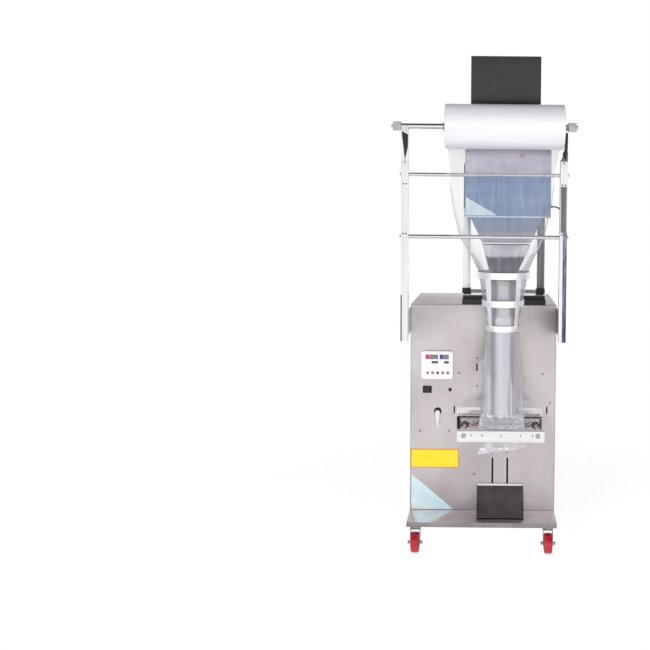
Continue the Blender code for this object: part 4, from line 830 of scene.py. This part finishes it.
def strap(side, facing):
    """One flat strap, bent to lie just inside the three rings."""
    rows = []
    steps = 12
    stations = ((0.098, 0.056, 0.024, 1.05), (0.079, 0.0515, 0.019, 0.945), (0.062, 0.0466, 0.015, 0.85))
    for radius, offset, width, height in stations:
        depth = (radius * radius - offset * offset) ** 0.5
        outward = Vector((side * offset, -facing * depth, 0)).normalized()
        along = Vector((-outward.y, outward.x, 0))
        centre = Vector((LINE_X, LINE_Y, height))
        rows.append((centre, outward, along, width / 2, radius))
    shape = bmesh.new()
    loops = []
    for share in [i / steps for i in range(2 * steps + 1)]:
        index = min(int(share), 1)
        t = share - index
        a, b = rows[index], rows[index + 1]
        centre, outward, along = a[0].lerp(b[0], t), a[1].lerp(b[1], t), a[2].lerp(b[2], t)
        half, radius = a[3] * (1 - t) + b[3] * t, a[4] * (1 - t) + b[4] * t
        inner, outer = radius - 0.0021, radius - 0.0005
        section = ((inner, -half), (outer, -half), (outer, half), (inner, half))
        loops.append([shape.verts.new(centre + outward * r + along * w) for r, w in section])
    for lower, upper in zip(loops, loops[1:]):
        for i in range(4):
            j = (i + 1) % 4
            shape.faces.new((lower[i], lower[j], upper[j], upper[i]))
    shape.faces.new(loops[0])
    shape.faces.new(loops[-1])
    bmesh.ops.recalc_face_normals(shape, faces=shape.faces)
    return shape


cage += [strap(side, facing) for side in (-1, 1) for facing in (1, -1)]
for side in (-1, 1):
    inner, outer = sorted((LINE_X + side * 0.05, LINE_X + side * 0.064))
    cage.append(box_shape((inner, LINE_Y + 0.059, 0.9345), (outer, FRONT - 0.0003, 0.9385), 0.0005))
    cage.append(slab(inner, outer, 0.88, 0.9383, FRONT, 0.0035, 0.0003, 0.0005))
# Bright-dipped aluminium strip: white with a soft mirror in it. The metal share is kept below one for the
# haze of its oxide skin, which scatters the room's light.
RING_ALUMINIUM = patterned("bright_dipped_aluminium", (1.0, 1.0, 6.0), 60.0,
    [(0.35, "F2F2F5"), (0.65, "FBFBFC")], (0.2, 0.3), Metallic=0.45)
piece("former_cage_bright", cage, RING_ALUMINIUM, "frame", ["former_cage", "cage_ring_upper",
    "cage_ring_lower"])
softened("former_bracket", ZINC, 0.0006)


def graded(name, low, high, colours, rough, metallic):
    """A finish whose colour changes with height, unevenly: a painted reflection of the surroundings in
    polished sheet.
    """
    made, tree, shader, place = new_finish(name, Metallic=metallic, Roughness=rough)
    height = add(tree, "ShaderNodeSeparateXYZ", {"Vector": place}).outputs["Z"]
    uneven = worked(tree, "MULTIPLY_ADD", cloud(tree, place, 30.0, 3.0), 0.012, height)
    share = mapped(tree, uneven, low, high)
    tree.links.new(ramp(tree, share, colours), shader.inputs["Base Color"])
    return made


# The funnel's colour is a painted reflection: light on its upper part, dark blue-black below.
FUNNEL_STEEL = graded("stainless_funnel_painted_reflection", 1.04, 1.17, [(0.1, "5C6676"), (0.45, "2A3545"),
    (0.6, "364152"), (0.68, "E6E0E6"), (0.95, "F4EEF4")], 0.28, 1.0)
softened("infeed_funnel", FUNNEL_STEEL, 0.0003, 1)
print("former done")

# %% [markdown]
# ## Arms
# Each arm is three lengths of bright channel screwed end to end. The middle length sits back a little
# behind the faces of the other two, so thin face plates are laid over the upper and lower ones.

# %% Arms, face plates and wedges
JOINT_HIGH, JOINT_LOW = 1.37, 1.207
for side, way in (("left", -1), ("right", 1)):
    low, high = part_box(f"arm_{side}")
    # The right arm takes the darker copy of the extrusion: painted shade.
    softened(f"arm_{side}", ALUMINIUM if side == "left" else ALUMINIUM_SHADED, 0.0006)
    softened(f"wedge_{side}", BLACK, 0.0004)
    left, right = sorted((way * 0.27, way * 0.296))
    face_y = low.y
    plates = [slab(left, right, JOINT_HIGH, 1.459, face_y, 0.0012)]
    if side == "left":
        plates.append(slab(left, right, low.z, JOINT_LOW, face_y, 0.0012))
        plates.append(slab(left, right, 1.4592, 1.569, face_y, 0.0012))
    else:
        plates.append(slab(left, right - 0.0142, low.z, JOINT_LOW, face_y, 0.0012))
        plates.append(slab(0.2848, right, 1.496, 1.569, face_y, 0.0012))
        # The strip's dark bluish colour is a painted reflection.
        strip = slab(right - 0.014, right, low.z, JOINT_LOW, face_y, 0.0011, ease=0.0003)
        piece("arm_polished_strip", strip, BLUE_REFLECTING, slot="aluminium")
    for edge in (left, right - 0.0022):
        plates.append(slab(edge, edge + 0.0022, JOINT_LOW, JOINT_HIGH, face_y, 0.001, ease=0.0003))
    piece(f"arm_face_plates_{side}", plates, ALUMINIUM, slot="aluminium")
    edge_left, edge_right = (left, left + 0.0042) if side == "left" else (right - 0.005, right)
    edge_top = 0.98 if side == "left" else 0.88
    seal = slab(edge_left, edge_right, low.z + 0.001, edge_top, face_y, 0.0018, 0.001, 0.0003)
    piece(f"arm_rubber_edge_{side}", seal, BLACK, slot="black_plastic")
    middle = (left + right) / 2
    screws(f"arm_screws_{side}", [(middle + dx, face_y - 0.0012, z) for dx in (-0.0055, 0.0055)
        for z in (JOINT_HIGH + 0.006, JOINT_LOW - 0.008)], head=0.0028, height=0.0014, key=0.0013,
        finish=BLACK, slot="black_plastic")
    screws(f"wedge_screw_{side}", [(way * 0.2825, face_y - 0.0012, 1.453)], head=0.0026, height=0.0012,
        key=0.0012, finish=BLACK, slot="black_plastic")
print("arms done")

# %% [markdown]
# ## Roll, spindle and rollers
# The roll is some hundreds of turns of film on a core. Its edges are slightly rounded and its ends show
# the turns as fine rings, which a Geometry Nodes tree lays out at even steps between core and rim.

# %% Film roll with its windings, spindle, clamps and rollers
def ring_tree():
    """Thin rings of growing radius, one for every step from the core to the rim."""
    tree, given, identifiers = open_tree(
        "winding_rings",
        ("Ring count", "Int", 14),
        ("Inner radius", "Float", 0.02),
        ("Outer radius", "Float", 0.078),
        ("Thread radius", "Float", 0.0006),
    )
    inputs = {"Geometry": given["Points"], "Amount": given["Ring count"]}
    copies = add(tree, "GeometryNodeDuplicateElements", inputs, domain="POINT")
    last = worked(tree, "SUBTRACT", given["Ring count"], 1.0)
    share = worked(tree, "DIVIDE", copies.outputs["Duplicate Index"], last)
    radius = mapped(tree, share, 0.0, 1.0, given["Inner radius"], given["Outer radius"])
    unit = add(tree, "GeometryNodeCurvePrimitiveCircle", {"Resolution": 64, "Radius": 1.0})
    turn = add(tree, "FunctionNodeAlignRotationToVector", {"Vector": (1.0, 0.0, 0.0)}, axis="Z")
    inputs = {"Points": copies.outputs["Geometry"], "Instance": unit.outputs["Curve"],
        "Rotation": turn.outputs["Rotation"], "Scale": radius}
    placed = add(tree, "GeometryNodeInstanceOnPoints", inputs).outputs["Instances"]
    circles = add(tree, "GeometryNodeRealizeInstances", {"Geometry": placed}).outputs["Geometry"]
    inputs = {"Resolution": 6, "Radius": given["Thread radius"]}
    thread = add(tree, "GeometryNodeCurvePrimitiveCircle", inputs).outputs["Curve"]
    inputs = {"Curve": circles, "Profile Curve": thread}
    close_tree(tree, given, add(tree, "GeometryNodeCurveToMesh", inputs).outputs["Mesh"])
    return tree, identifiers


RINGS_TREE = ring_tree()
roll_low, roll_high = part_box("film_roll")
roll_radius = (roll_high.z - roll_low.z) / 2
ease, length = 0.002, roll_high.x - roll_low.x
piece("film_roll_wound", lathe_shape([(0.016, length), (roll_radius - ease, length),
    (roll_radius - 0.0006, length - 0.0006), (roll_radius, length - ease), (roll_radius, ease),
    (roll_radius - 0.0006, 0.0006), (roll_radius - ease, 0), (0.016, 0)], (roll_low.x, ARM_Y, SPINDLE_Z),
    (1, 0, 0), 128), WOUND, "film_supply", ["film_roll"])
for side, x in (("left", roll_low.x), ("right", roll_high.x)):
    run_tree(f"roll_windings_{side}", [(x, ARM_Y, SPINDLE_Z)], RINGS_TREE,
        {"Ring count": 14, "Inner radius": 0.021, "Outer radius": 0.077, "Thread radius": 0.0005,
        "Finish": WOUND}, "film_supply", "film_roll")
rod_half = SPINDLE_HIGH.x
parts = [lathe_shape([(0, rod_half), (0.005, rod_half), (0.006, rod_half - 0.001), (0.006, 0.326),
    (0.01, 0.3255), (0.01, -0.3255), (0.006, -0.326), (0.006, 0.001 - rod_half), (0.005, -rod_half),
    (0, -rod_half)], (0, ARM_Y, SPINDLE_Z), (1, 0, 0), 48)]
piece("film_spindle_chromed", parts, CHROME, "film_supply", ["film_spindle"])
for side, way in (("left", -1), ("right", 1)):
    inner, outer = sorted((way * 0.2968, way * 0.3258))
    block = box_shape((inner, ARM_Y - 0.015, SPINDLE_Z - 0.015), (outer, ARM_Y + 0.015, SPINDLE_Z + 0.015),
        0.0018, 3)
    piece(f"spindle_block_{side}", block, ZINC, "film_supply", slot="zinc")
    softened(f"roll_clamp_{side}", BLACK, 0.0004)
for node, radius in (("guide_roller_upper", 0.0065), ("guide_roller_lower", 0.007)):
    low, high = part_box(node)
    middle = ((low.x + high.x) / 2, (low.y + high.y) / 2, (low.z + high.z) / 2)
    half = (high.x - low.x) / 2
    outline = [(0, half), (0.0045, half), (0.0055, half - 0.001), (0.0055, 0.2965), (0.003, 0.2965),
        (0.003, 0.269), (radius - 0.0006, 0.269), (radius, 0.2684)]
    outline += [(r, -h) for r, h in reversed(outline)]
    piece(f"{node}_chromed", lathe_shape(outline, middle, (1, 0, 0), 40), CHROME, BODY_OF[node], [node])
print("roll and rollers done")

# %% [markdown]
# ## Film web
# The web is one sheet, 420 mm wide. It leaves the roll, passes in front of the upper roller and behind
# the lower one, and is gathered round the cage, so its edges run in towards each other. The sheet is a
# fine grid whose rows follow the frame's levels, with pleats that grow as the film is gathered.

# %% The web from the roll to the cage
FILM_WALL, FILM_GAP = 0.0003, 0.0008
ROLL_WEB_X, ROLL_WEB_HALF = 0.0705, 0.2095
LOWER_LOW, LOWER_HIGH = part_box("guide_roller_lower")
LOWER_Y = (LOWER_LOW.y + LOWER_HIGH.y) / 2
WEB_LEVELS = np.array([
    # height, middle, plane of the front run, its half width, corner radius, half of the width used
    (1.538, 0.0705, ARM_Y + 0.07, 0.2095, 0.01, 0.2095),
    (1.4135, 0.064, ARM_Y - 0.0078, 0.1845, 0.01, 0.1845),
    (1.401, 0.064, ARM_Y - 0.0076, 0.184, 0.01, 0.184),
    (1.37, 0.064, ARM_Y - 0.0065, 0.178, 0.01, 0.189),
    (1.28, 0.064, ARM_Y + 0.002, 0.15, 0.025, 0.2),
    (1.189, 0.065, LOWER_Y + 0.0082, 0.115, 0.04, 0.205),
    (1.12, 0.07, ARM_Y - 0.002, 0.045, 0.075, 0.2095),
    (1.06, LINE_X, LINE_Y - 0.0925, 0.0, 0.0925, 0.2095),
    (0.945, LINE_X, LINE_Y - 0.0735, 0.0, 0.0735, 0.2095),
    (0.895, LINE_X, LINE_Y - 0.063, 0.0, 0.063, 0.2095),
])


def web_point(middle, front, flat, radius, along):
    """Point and inward normal at a distance along the film from its middle line, at one height."""
    side = 1 if along >= 0 else -1
    left = abs(along)
    if left <= flat:
        return (middle + side * left, front), (0, 1)
    limit = radius * (pi / 2 if flat > 0.05 else pi)
    arc = min(left - flat, limit)
    angle = arc / radius
    tail = left - flat - arc
    x = flat + radius * sin(angle) + tail * cos(angle)
    y = front + radius * (1 - cos(angle)) + tail * sin(angle)
    return (middle + side * x, y), (-side * sin(angle), cos(angle))


def pleats(along, height, strength, seed):
    """Uneven folds that run along the film, from 0 to strength."""
    waves = 0.0
    for index, (pitch, share) in enumerate(((0.052, 0.45), (0.027, 0.33), (0.015, 0.22))):
        drift = noise.noise(Vector((seed + index * 7.1, height * 4.0, 0.0))) * 1.5
        waves += share * (0.5 + 0.5 * sin(2 * pi * along / pitch + seed * (index + 1) + drift))
    return strength * waves


def grid_sheet(name, rows, thickness, closed=False):
    """A sheet from rows of points, given a wall on its inner side."""
    data = bpy.data.meshes.new(name)
    count = len(rows[0])
    points = [p for row in rows for p in row]
    across = count if closed else count - 1
    faces = []
    for r in range(len(rows) - 1):
        for c in range(across):
            d = (c + 1) % count
            faces.append((r * count + c, (r + 1) * count + c, (r + 1) * count + d, r * count + d))
    data.from_pydata(points, [], faces)
    made = bpy.data.objects.new(name, data)
    bpy.context.scene.collection.objects.link(made)
    wall_modifier = made.modifiers.new("wall", "SOLIDIFY")
    wall_modifier.thickness = thickness
    wall_modifier.offset = -1.0
    bpy.context.view_layer.update()
    done = bpy.data.meshes.new_from_object(made.evaluated_get(bpy.context.evaluated_depsgraph_get()))
    bpy.data.objects.remove(made)
    bpy.data.meshes.remove(data)
    return done


heights = np.concatenate([np.linspace(1.538, 1.4135, 22)[:-1], np.linspace(1.4135, 1.189, 40)[:-1],
    np.linspace(1.189, 0.895, 60)])
gather = [(1.538, 0.0), (1.38, 0.0), (1.3, 0.0004), (1.215, 0.0008), (1.189, 0.0006), (1.15, 0.002),
    (1.06, 0.0022), (0.945, 0.0016), (0.895, 0.0006)]
gather_z, gather_size = zip(*gather[::-1])
ACROSS = 150
rows = []
for roll_angle in (74.0, 66.0):
    y = ARM_Y + (roll_radius + FILM_GAP) * sin(radians(roll_angle))
    z = SPINDLE_Z - (roll_radius + FILM_GAP) * cos(radians(roll_angle))
    rows.append([(ROLL_WEB_X + ROLL_WEB_HALF * (2 * i / ACROSS - 1), y, z) for i in range(ACROSS + 1)])
for height in heights:
    levels = [float(np.interp(-height, -WEB_LEVELS[:, 0], WEB_LEVELS[:, k])) for k in range(1, 6)]
    middle, front, flat, radius, half = levels
    strength = float(np.interp(height, gather_z, gather_size))
    row = []
    for step in range(ACROSS + 1):
        along = half * (2 * step / ACROSS - 1)
        (x, y), (nx, ny) = web_point(middle, front, flat, radius, along)
        fold = pleats(along, height, strength, 2.0)
        row.append((x + nx * fold, y + ny * fold, float(height)))
    rows.append(row)
web = settle("film_web_clear", grid_sheet("web", rows, FILM_WALL), WEB_FILM, "frame", ["film_web"],
    angle=75.0)

# %% [markdown]
# ## Film tube and bag
# Below the cage the edges are welded into a fin at the back, and the sheet is a tube wider than the
# forming tube inside it. It flattens between the jaws, crumples just above them, and the bag that was
# filled last hangs below with a ribbed seal at its foot.

# %% The tube, its crumple and the bag
TUBE_LEVELS = np.array([
    # height, half width, half depth, centre of the section in Y
    (0.895, 0.063, 0.063, LINE_Y),
    (0.868, 0.0562, 0.0562, LINE_Y),
    (0.84, 0.0572, 0.0572, LINE_Y),
    (0.83, 0.06, 0.0575, LINE_Y),
    (0.79, 0.0635, 0.056, LINE_Y),
    (0.65, 0.0725, 0.0548, LINE_Y),
    (0.545, 0.08, 0.0548, LINE_Y),
    (0.526, 0.081, 0.05, LINE_Y + 0.001),
    (0.508, 0.082, 0.02, LINE_Y + 0.006),
    (0.493, 0.0845, 0.0012, JAW_Y),
    (0.442, 0.0855, 0.001, JAW_Y),
    (0.415, 0.0863, 0.006, JAW_Y),
    (0.395, 0.0868, 0.0016, JAW_Y),
    (0.385, 0.087, 0.001, JAW_Y),
])
tube_heights = np.concatenate([np.linspace(0.895, 0.545, 70)[:-1], np.linspace(0.545, 0.49, 34)[:-1],
    np.linspace(0.49, 0.442, 8)[:-1], np.linspace(0.442, 0.385, 24)])
AROUND, SEAL_TOP = 120, 0.3965
TUBE_FOLDS = ((0.49, 0.53, 0.6, 0.8, 0.838, 0.895), (0.0, 0.002, 0.0014, 0.0008, 0.0004, 0.0004))
TUBE_CRUMPLE = ((0.4895, 0.496, 0.52, 0.545, 0.57), (0.0, 0.0045, 0.006, 0.0022, 0.0))
rows = []
for height in tube_heights:
    half_width, half_depth, centre = [float(np.interp(-height, -TUBE_LEVELS[:, 0], TUBE_LEVELS[:, k]))
        for k in (1, 2, 3)]
    folds = float(np.interp(height, *TUBE_FOLDS))
    crumple = float(np.interp(height, *TUBE_CRUMPLE))
    row = []
    for step in range(AROUND):
        angle = 2 * pi * step / AROUND - pi / 2
        x, y = half_width * cos(angle), half_depth * sin(angle)
        out = Vector((cos(angle) * half_depth, sin(angle) * half_width, 0)).normalized()
        push = pleats(angle * half_width, height, folds, 5.0)
        rough = noise.fractal(Vector((x * 42, y * 42 + 3.1, height * 60)), 0.8, 2.0, 4)
        push += crumple * (0.55 + 0.9 * rough)
        ribs = 0.0
        if height < SEAL_TOP:
            ribs = 0.0003 * sin(2 * pi * (height - 0.385) / 0.0032)
        tilt = -0.0135 * x / 0.087 * max(0.0, (0.442 - height) / 0.057)
        row.append((LINE_X + x + out.x * push * 0.6, centre + y + out.y * (push + ribs),
            float(height) - tilt))
    rows.append(row)
skin_data = grid_sheet("film_tube", rows, FILM_WALL, closed=True)
fin = box_shape((LINE_X - 0.0006, LINE_Y + 0.054, 0.5405), (LINE_X + 0.0006, LINE_Y + 0.0895, 0.84), 0.0002)
whole = bmesh.new()
whole.from_mesh(skin_data)
fin_data = as_mesh("fin", fin)
whole.from_mesh(fin_data)
tube = settle("film_tube_clear", as_mesh("film_tube", whole), TUBE_FILM, "frame", ["film_tube"], angle=75.0)
second_finish(tube, SEAL_FILM, lambda face: face.center.z < SEAL_TOP or 0.452 < face.center.z < 0.48)
second_finish(tube, CREASED_FILM, lambda face: 0.48 < face.center.z < 0.536)

# %% [markdown]
# ## Weigher and hopper
# The weigher is a powder coated case. Its front has a lavender lid above a blue panel, with a thin light
# strip below. The hopper over it is sheet with a painted dark reflection, and a hem up each front corner.

# %% Weigher case, front panels, hopper and stand
body_low, body_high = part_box("weigher_body")
OUTLET_TOP = 1.2575
# The outlet under the case takes a painted reflection, bluish grey, with a painted shadow in the dark band at
# its foot.
OUTLET = graded("weigher_outlet_painted_reflection", 1.16, 1.268, [(0.03, "33333B"), (0.1, "C5C0CA"), (0.4, "A9A8B8"),
    (0.62, "7F8BA8"), (0.92, "6A7FA4")], 0.3, 0.35)
case = softened("weigher_body", BLUE_COAT, 0.001)
second_finish(case, OUTLET, lambda face: face.center.z < OUTLET_TOP)
face_y = body_low.y
panels = (
    ("weigher_lid_panel", body_low.x + 0.001, 0.2415, 1.423, 1.505, LAVENDER_COAT, 0.001),
    ("weigher_lid_strip", body_low.x + 0.001, 0.2415, 1.416, 1.4225, LAVENDER_COAT, 0.0016),
    ("weigher_blue_panel", body_low.x + 0.001, 0.2415, 1.264, 1.4155, BLUE_COAT, 0.0008),
    ("weigher_foot_strip", body_low.x + 0.001, 0.2415, 1.259, 1.2632, PALE_BLUE, 0.0014),
)
for name, left, right, low, high, finish, thickness in panels:
    block = slab(left, right, low, high, face_y, thickness, -0.0002, 0.0003)
    piece(name, block, finish, slot="blue_panel")
badge = [(-0.0685, 1.266), (0.045, 1.266), (0.033, 1.275), (-0.0685, 1.333)]
piece("weigher_blue_corner", plate_shape(badge, 0.0004, upright(face_y - 0.0008), 0.0001), PALE_BLUE,
    slot="white_plastic")
window = slab(0.127, 0.149, 1.478, 1.492, face_y, 0.0018, 0.0009, 0.0003)
piece("weigher_display", window, WINDOW_ROSE, slot="white_plastic")
screws("weigher_screws", [(x, face_y - 0.0016, z) for x in (-0.062, 0.234) for z in (1.419, 1.498)],
    head=0.003, height=0.0013, key=0.0013)
# The hopper's dark colour is a painted reflection.
softened("hopper", DARK_REFLECTION_SHEET, 0.0006)
hopper_low, hopper_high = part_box("hopper")
# The two hems are alike; the left one takes a lighter finish than the black right one: a painted highlight on
# the side that faces the light.
for name, left, finish in (("left", hopper_low.x - 0.0004, ALUMINIUM_SHADED),
        ("right", hopper_high.x - 0.0024, BLACK)):
    hem = slab(left, left + 0.0028, 1.665, hopper_high.z, hopper_low.y, 0.0008, -0.0004, 0.0003)
    piece(f"hopper_hem_{name}", hem, finish, slot="dark_sheet")
softened("weigher_stand", BLACK, 0.0008)
# The right post cover takes the darker copy of the extrusion: painted shade.
for name, x, finish in (("left", -0.07, ALUMINIUM), ("right", 0.2245, ALUMINIUM_SHADED)):
    post_y = body_high.y + 0.002
    cover = slab(x - 0.0145, x + 0.0145, 0.977, 1.296, post_y, 0.001, -0.028, 0.001)
    piece(f"stand_post_cover_{name}", cover, finish, slot="aluminium")
deck = slab(-0.08, 0.235, 0.956, 0.958, FRONT, -0.027, -0.11, 0.0006)
piece("stand_deck_plate", deck, PLATE, slot="stainless")
softened("weigh_bucket", STAINLESS, 0.0004)
softened("bucket_flap", ZINC, 0.0003)
softened("feed_tray", ZINC, 0.0004)
print("weigher done")

# %% [markdown]
# ## Chute and hidden drive
# The chute is sheet with a painted dark reflection too, on two studs that slide in the panel's slots. The
# motors, gears and seal bars behind the film are zinc, aluminium and nylon.

# %% Chute, slot rims and drive
# The chute's dark grey colour is a painted reflection.
softened("discharge_chute", CHUTE_REFLECTION_SHEET, 0.0005)
chute_low, chute_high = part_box("discharge_chute")
ledge = slab(chute_low.x - 0.0006, chute_high.x + 0.0006, 0.213, 0.2292, FRONT, 0.0052, 0.0024, 0.0006)
piece("chute_bright_ledge", ledge, PLATE, "chute", slot="stainless")
slot_rims = []
for x in SLOT_X:
    outer = rounded_outline(x - 0.0058, x + 0.0058, 0.1972, 0.3318, 0.002, 3)
    inner = rounded_outline(x - 0.004, x + 0.004, 0.199, 0.33, 0.001, 3)
    rim_shape = bmesh.new()
    profile = ((outer, 0.0001), (outer, 0.0005), (inner, 0.0005), (inner, 0.0001))
    rings = [[rim_shape.verts.new((px, FRONT - rise, pz)) for px, pz in line] for line, rise in profile]
    for near, far in zip(rings, [*rings[1:], rings[0]]):
        for i in range(len(near)):
            j = (i + 1) % len(near)
            rim_shape.faces.new((near[i], near[j], far[j], far[i]))
    bmesh.ops.recalc_face_normals(rim_shape, faces=rim_shape.faces)
    slot_rims.append(rim_shape)
piece("chute_slot_rims", slot_rims, PLATE, slot="stainless")
screws("chute_slot_stops", [(x, FRONT, 0.3482) for x in SLOT_X], head=0.0024, height=0.001, key=0.001,
    finish=BLACK, slot="black_plastic")
for node, finish in (("pull_motor", ZINC), ("jaw_motor", ZINC), ("jaw_pinion", ZINC),
        ("seal_bar_left", ALUMINIUM), ("seal_bar_right", ALUMINIUM), ("pull_roller_left", BLACK),
        ("pull_roller_right", BLACK)):
    softened(node, finish, 0.0004)
print("chute and drive done")

# %% [markdown]
# ## Floor and light
# The machine stands on a pale floor in a bright room. Polished metal shows what is round it, so the
# room is not evenly white: it is brightest at window height and dimmer overhead and low down. The lamps
# are hidden from reflections, because each would show in the metal as a hard bright spot.

# %% Floor, room and lamps
floor_data = bpy.data.meshes.new("floor")
floor_data.from_pydata([(-3, -3, 0), (3, -3, 0), (3, 3, 0), (-3, 3, 0)], [], [(0, 1, 2, 3)])
floor_finish, floor_tree, floor_shader, floor_place = new_finish("pale_studio_floor", Roughness=0.8)
floor_shader.inputs["Base Color"].default_value = linear("F4F4F4")
floor_shader.inputs["Emission Color"].default_value = (1.0, 1.0, 1.0, 1.0)
camera_only = add(floor_tree, "ShaderNodeLightPath").outputs["Is Camera Ray"]
glow = mapped(floor_tree, camera_only, 0.0, 1.0, 0.36, 0.62)
floor_tree.links.new(glow, floor_shader.inputs["Emission Strength"])
away = add(floor_tree, "ShaderNodeVectorMath", {0: floor_place}, operation="LENGTH").outputs["Value"]
fade = mapped(floor_tree, away, 0.55, 1.5, 1.0, 0.0, interpolation_type="SMOOTHSTEP")
floor_tree.links.new(fade, floor_shader.inputs["Alpha"])
floor_data.materials.append(floor_finish)
floor = bpy.data.objects.new("floor", floor_data)
bpy.context.scene.collection.objects.link(floor)

room = bpy.data.worlds.new("bright_room")
bpy.context.scene.world = room
room.use_nodes = True
sky = room.node_tree
sky.nodes.clear()
direction = add(sky, "ShaderNodeSeparateXYZ", {"Vector": add(sky, "ShaderNodeTexCoord").outputs["Generated"]})
height_share = mapped(sky, direction.outputs["Z"], -1.0, 1.0)
bands = ramp(sky, height_share, [(0.05, "2E2E34"), (0.11, "9A9AA0"), (0.16, "FFFFFF"), (0.52, "FFFFFF"),
    (0.66, "F8F8FA"), (0.78, "BCBCC2"), (0.9, "4A4A50"), (1.0, "2E2E34")])
sideways = worked(sky, "ABSOLUTE", direction.outputs["X"])
flags = ramp(sky, sideways, [(0.68, "FFFFFF"), (0.84, "D4D4DA"), (0.94, "84848A"), (1.0, "74747A")])
shaded = add(sky, "ShaderNodeMix", data_type="RGBA", blend_type="MULTIPLY")
shaded.inputs[0].default_value = 1.0
sky.links.new(bands, shaded.inputs[6])
sky.links.new(flags, shaded.inputs[7])
lit = add(sky, "ShaderNodeBackground", {"Color": shaded.outputs[2], "Strength": 1.0})
seen = add(sky, "ShaderNodeBackground", {"Color": (1.0, 1.0, 1.0, 1.0), "Strength": 1.0})
which = add(sky, "ShaderNodeLightPath").outputs["Is Camera Ray"]
both = add(sky, "ShaderNodeMixShader", {0: which, 1: lit.outputs[0], 2: seen.outputs[0]})
add(sky, "ShaderNodeOutputWorld", {"Surface": both.outputs[0]})


def lamp(name, place, aim, size, power):
    data = bpy.data.lights.new(name, "AREA")
    data.shape = "RECTANGLE"
    data.size, data.size_y = size
    data.energy = power
    made = bpy.data.objects.new(name, data)
    made.visible_glossy = False
    bpy.context.scene.collection.objects.link(made)
    made.location = place
    made.rotation_mode = "QUATERNION"
    made.rotation_quaternion = (Vector(aim) - Vector(place)).to_track_quat("-Z", "Y")


lamp("key_softbox", (-1.7, -3.3, 2.0), (0.0, 0.0, 0.9), (1.6, 1.6), 37.0)
lamp("fill_softbox", (2.2, -3.0, 1.5), (0.0, 0.0, 0.9), (1.2, 1.8), 22.0)
lamp("top_softbox", (0.0, 0.6, 3.6), (0.0, 0.1, 0.9), (2.0, 1.4), 3.0)
lamp("low_softbox", (0.5, -3.6, 0.3), (0.0, 0.0, 1.4), (1.6, 0.8), 36.0)
bpy.context.scene.view_settings.view_transform = "Standard"
bpy.context.scene.view_settings.look = "None"
print("room ready")
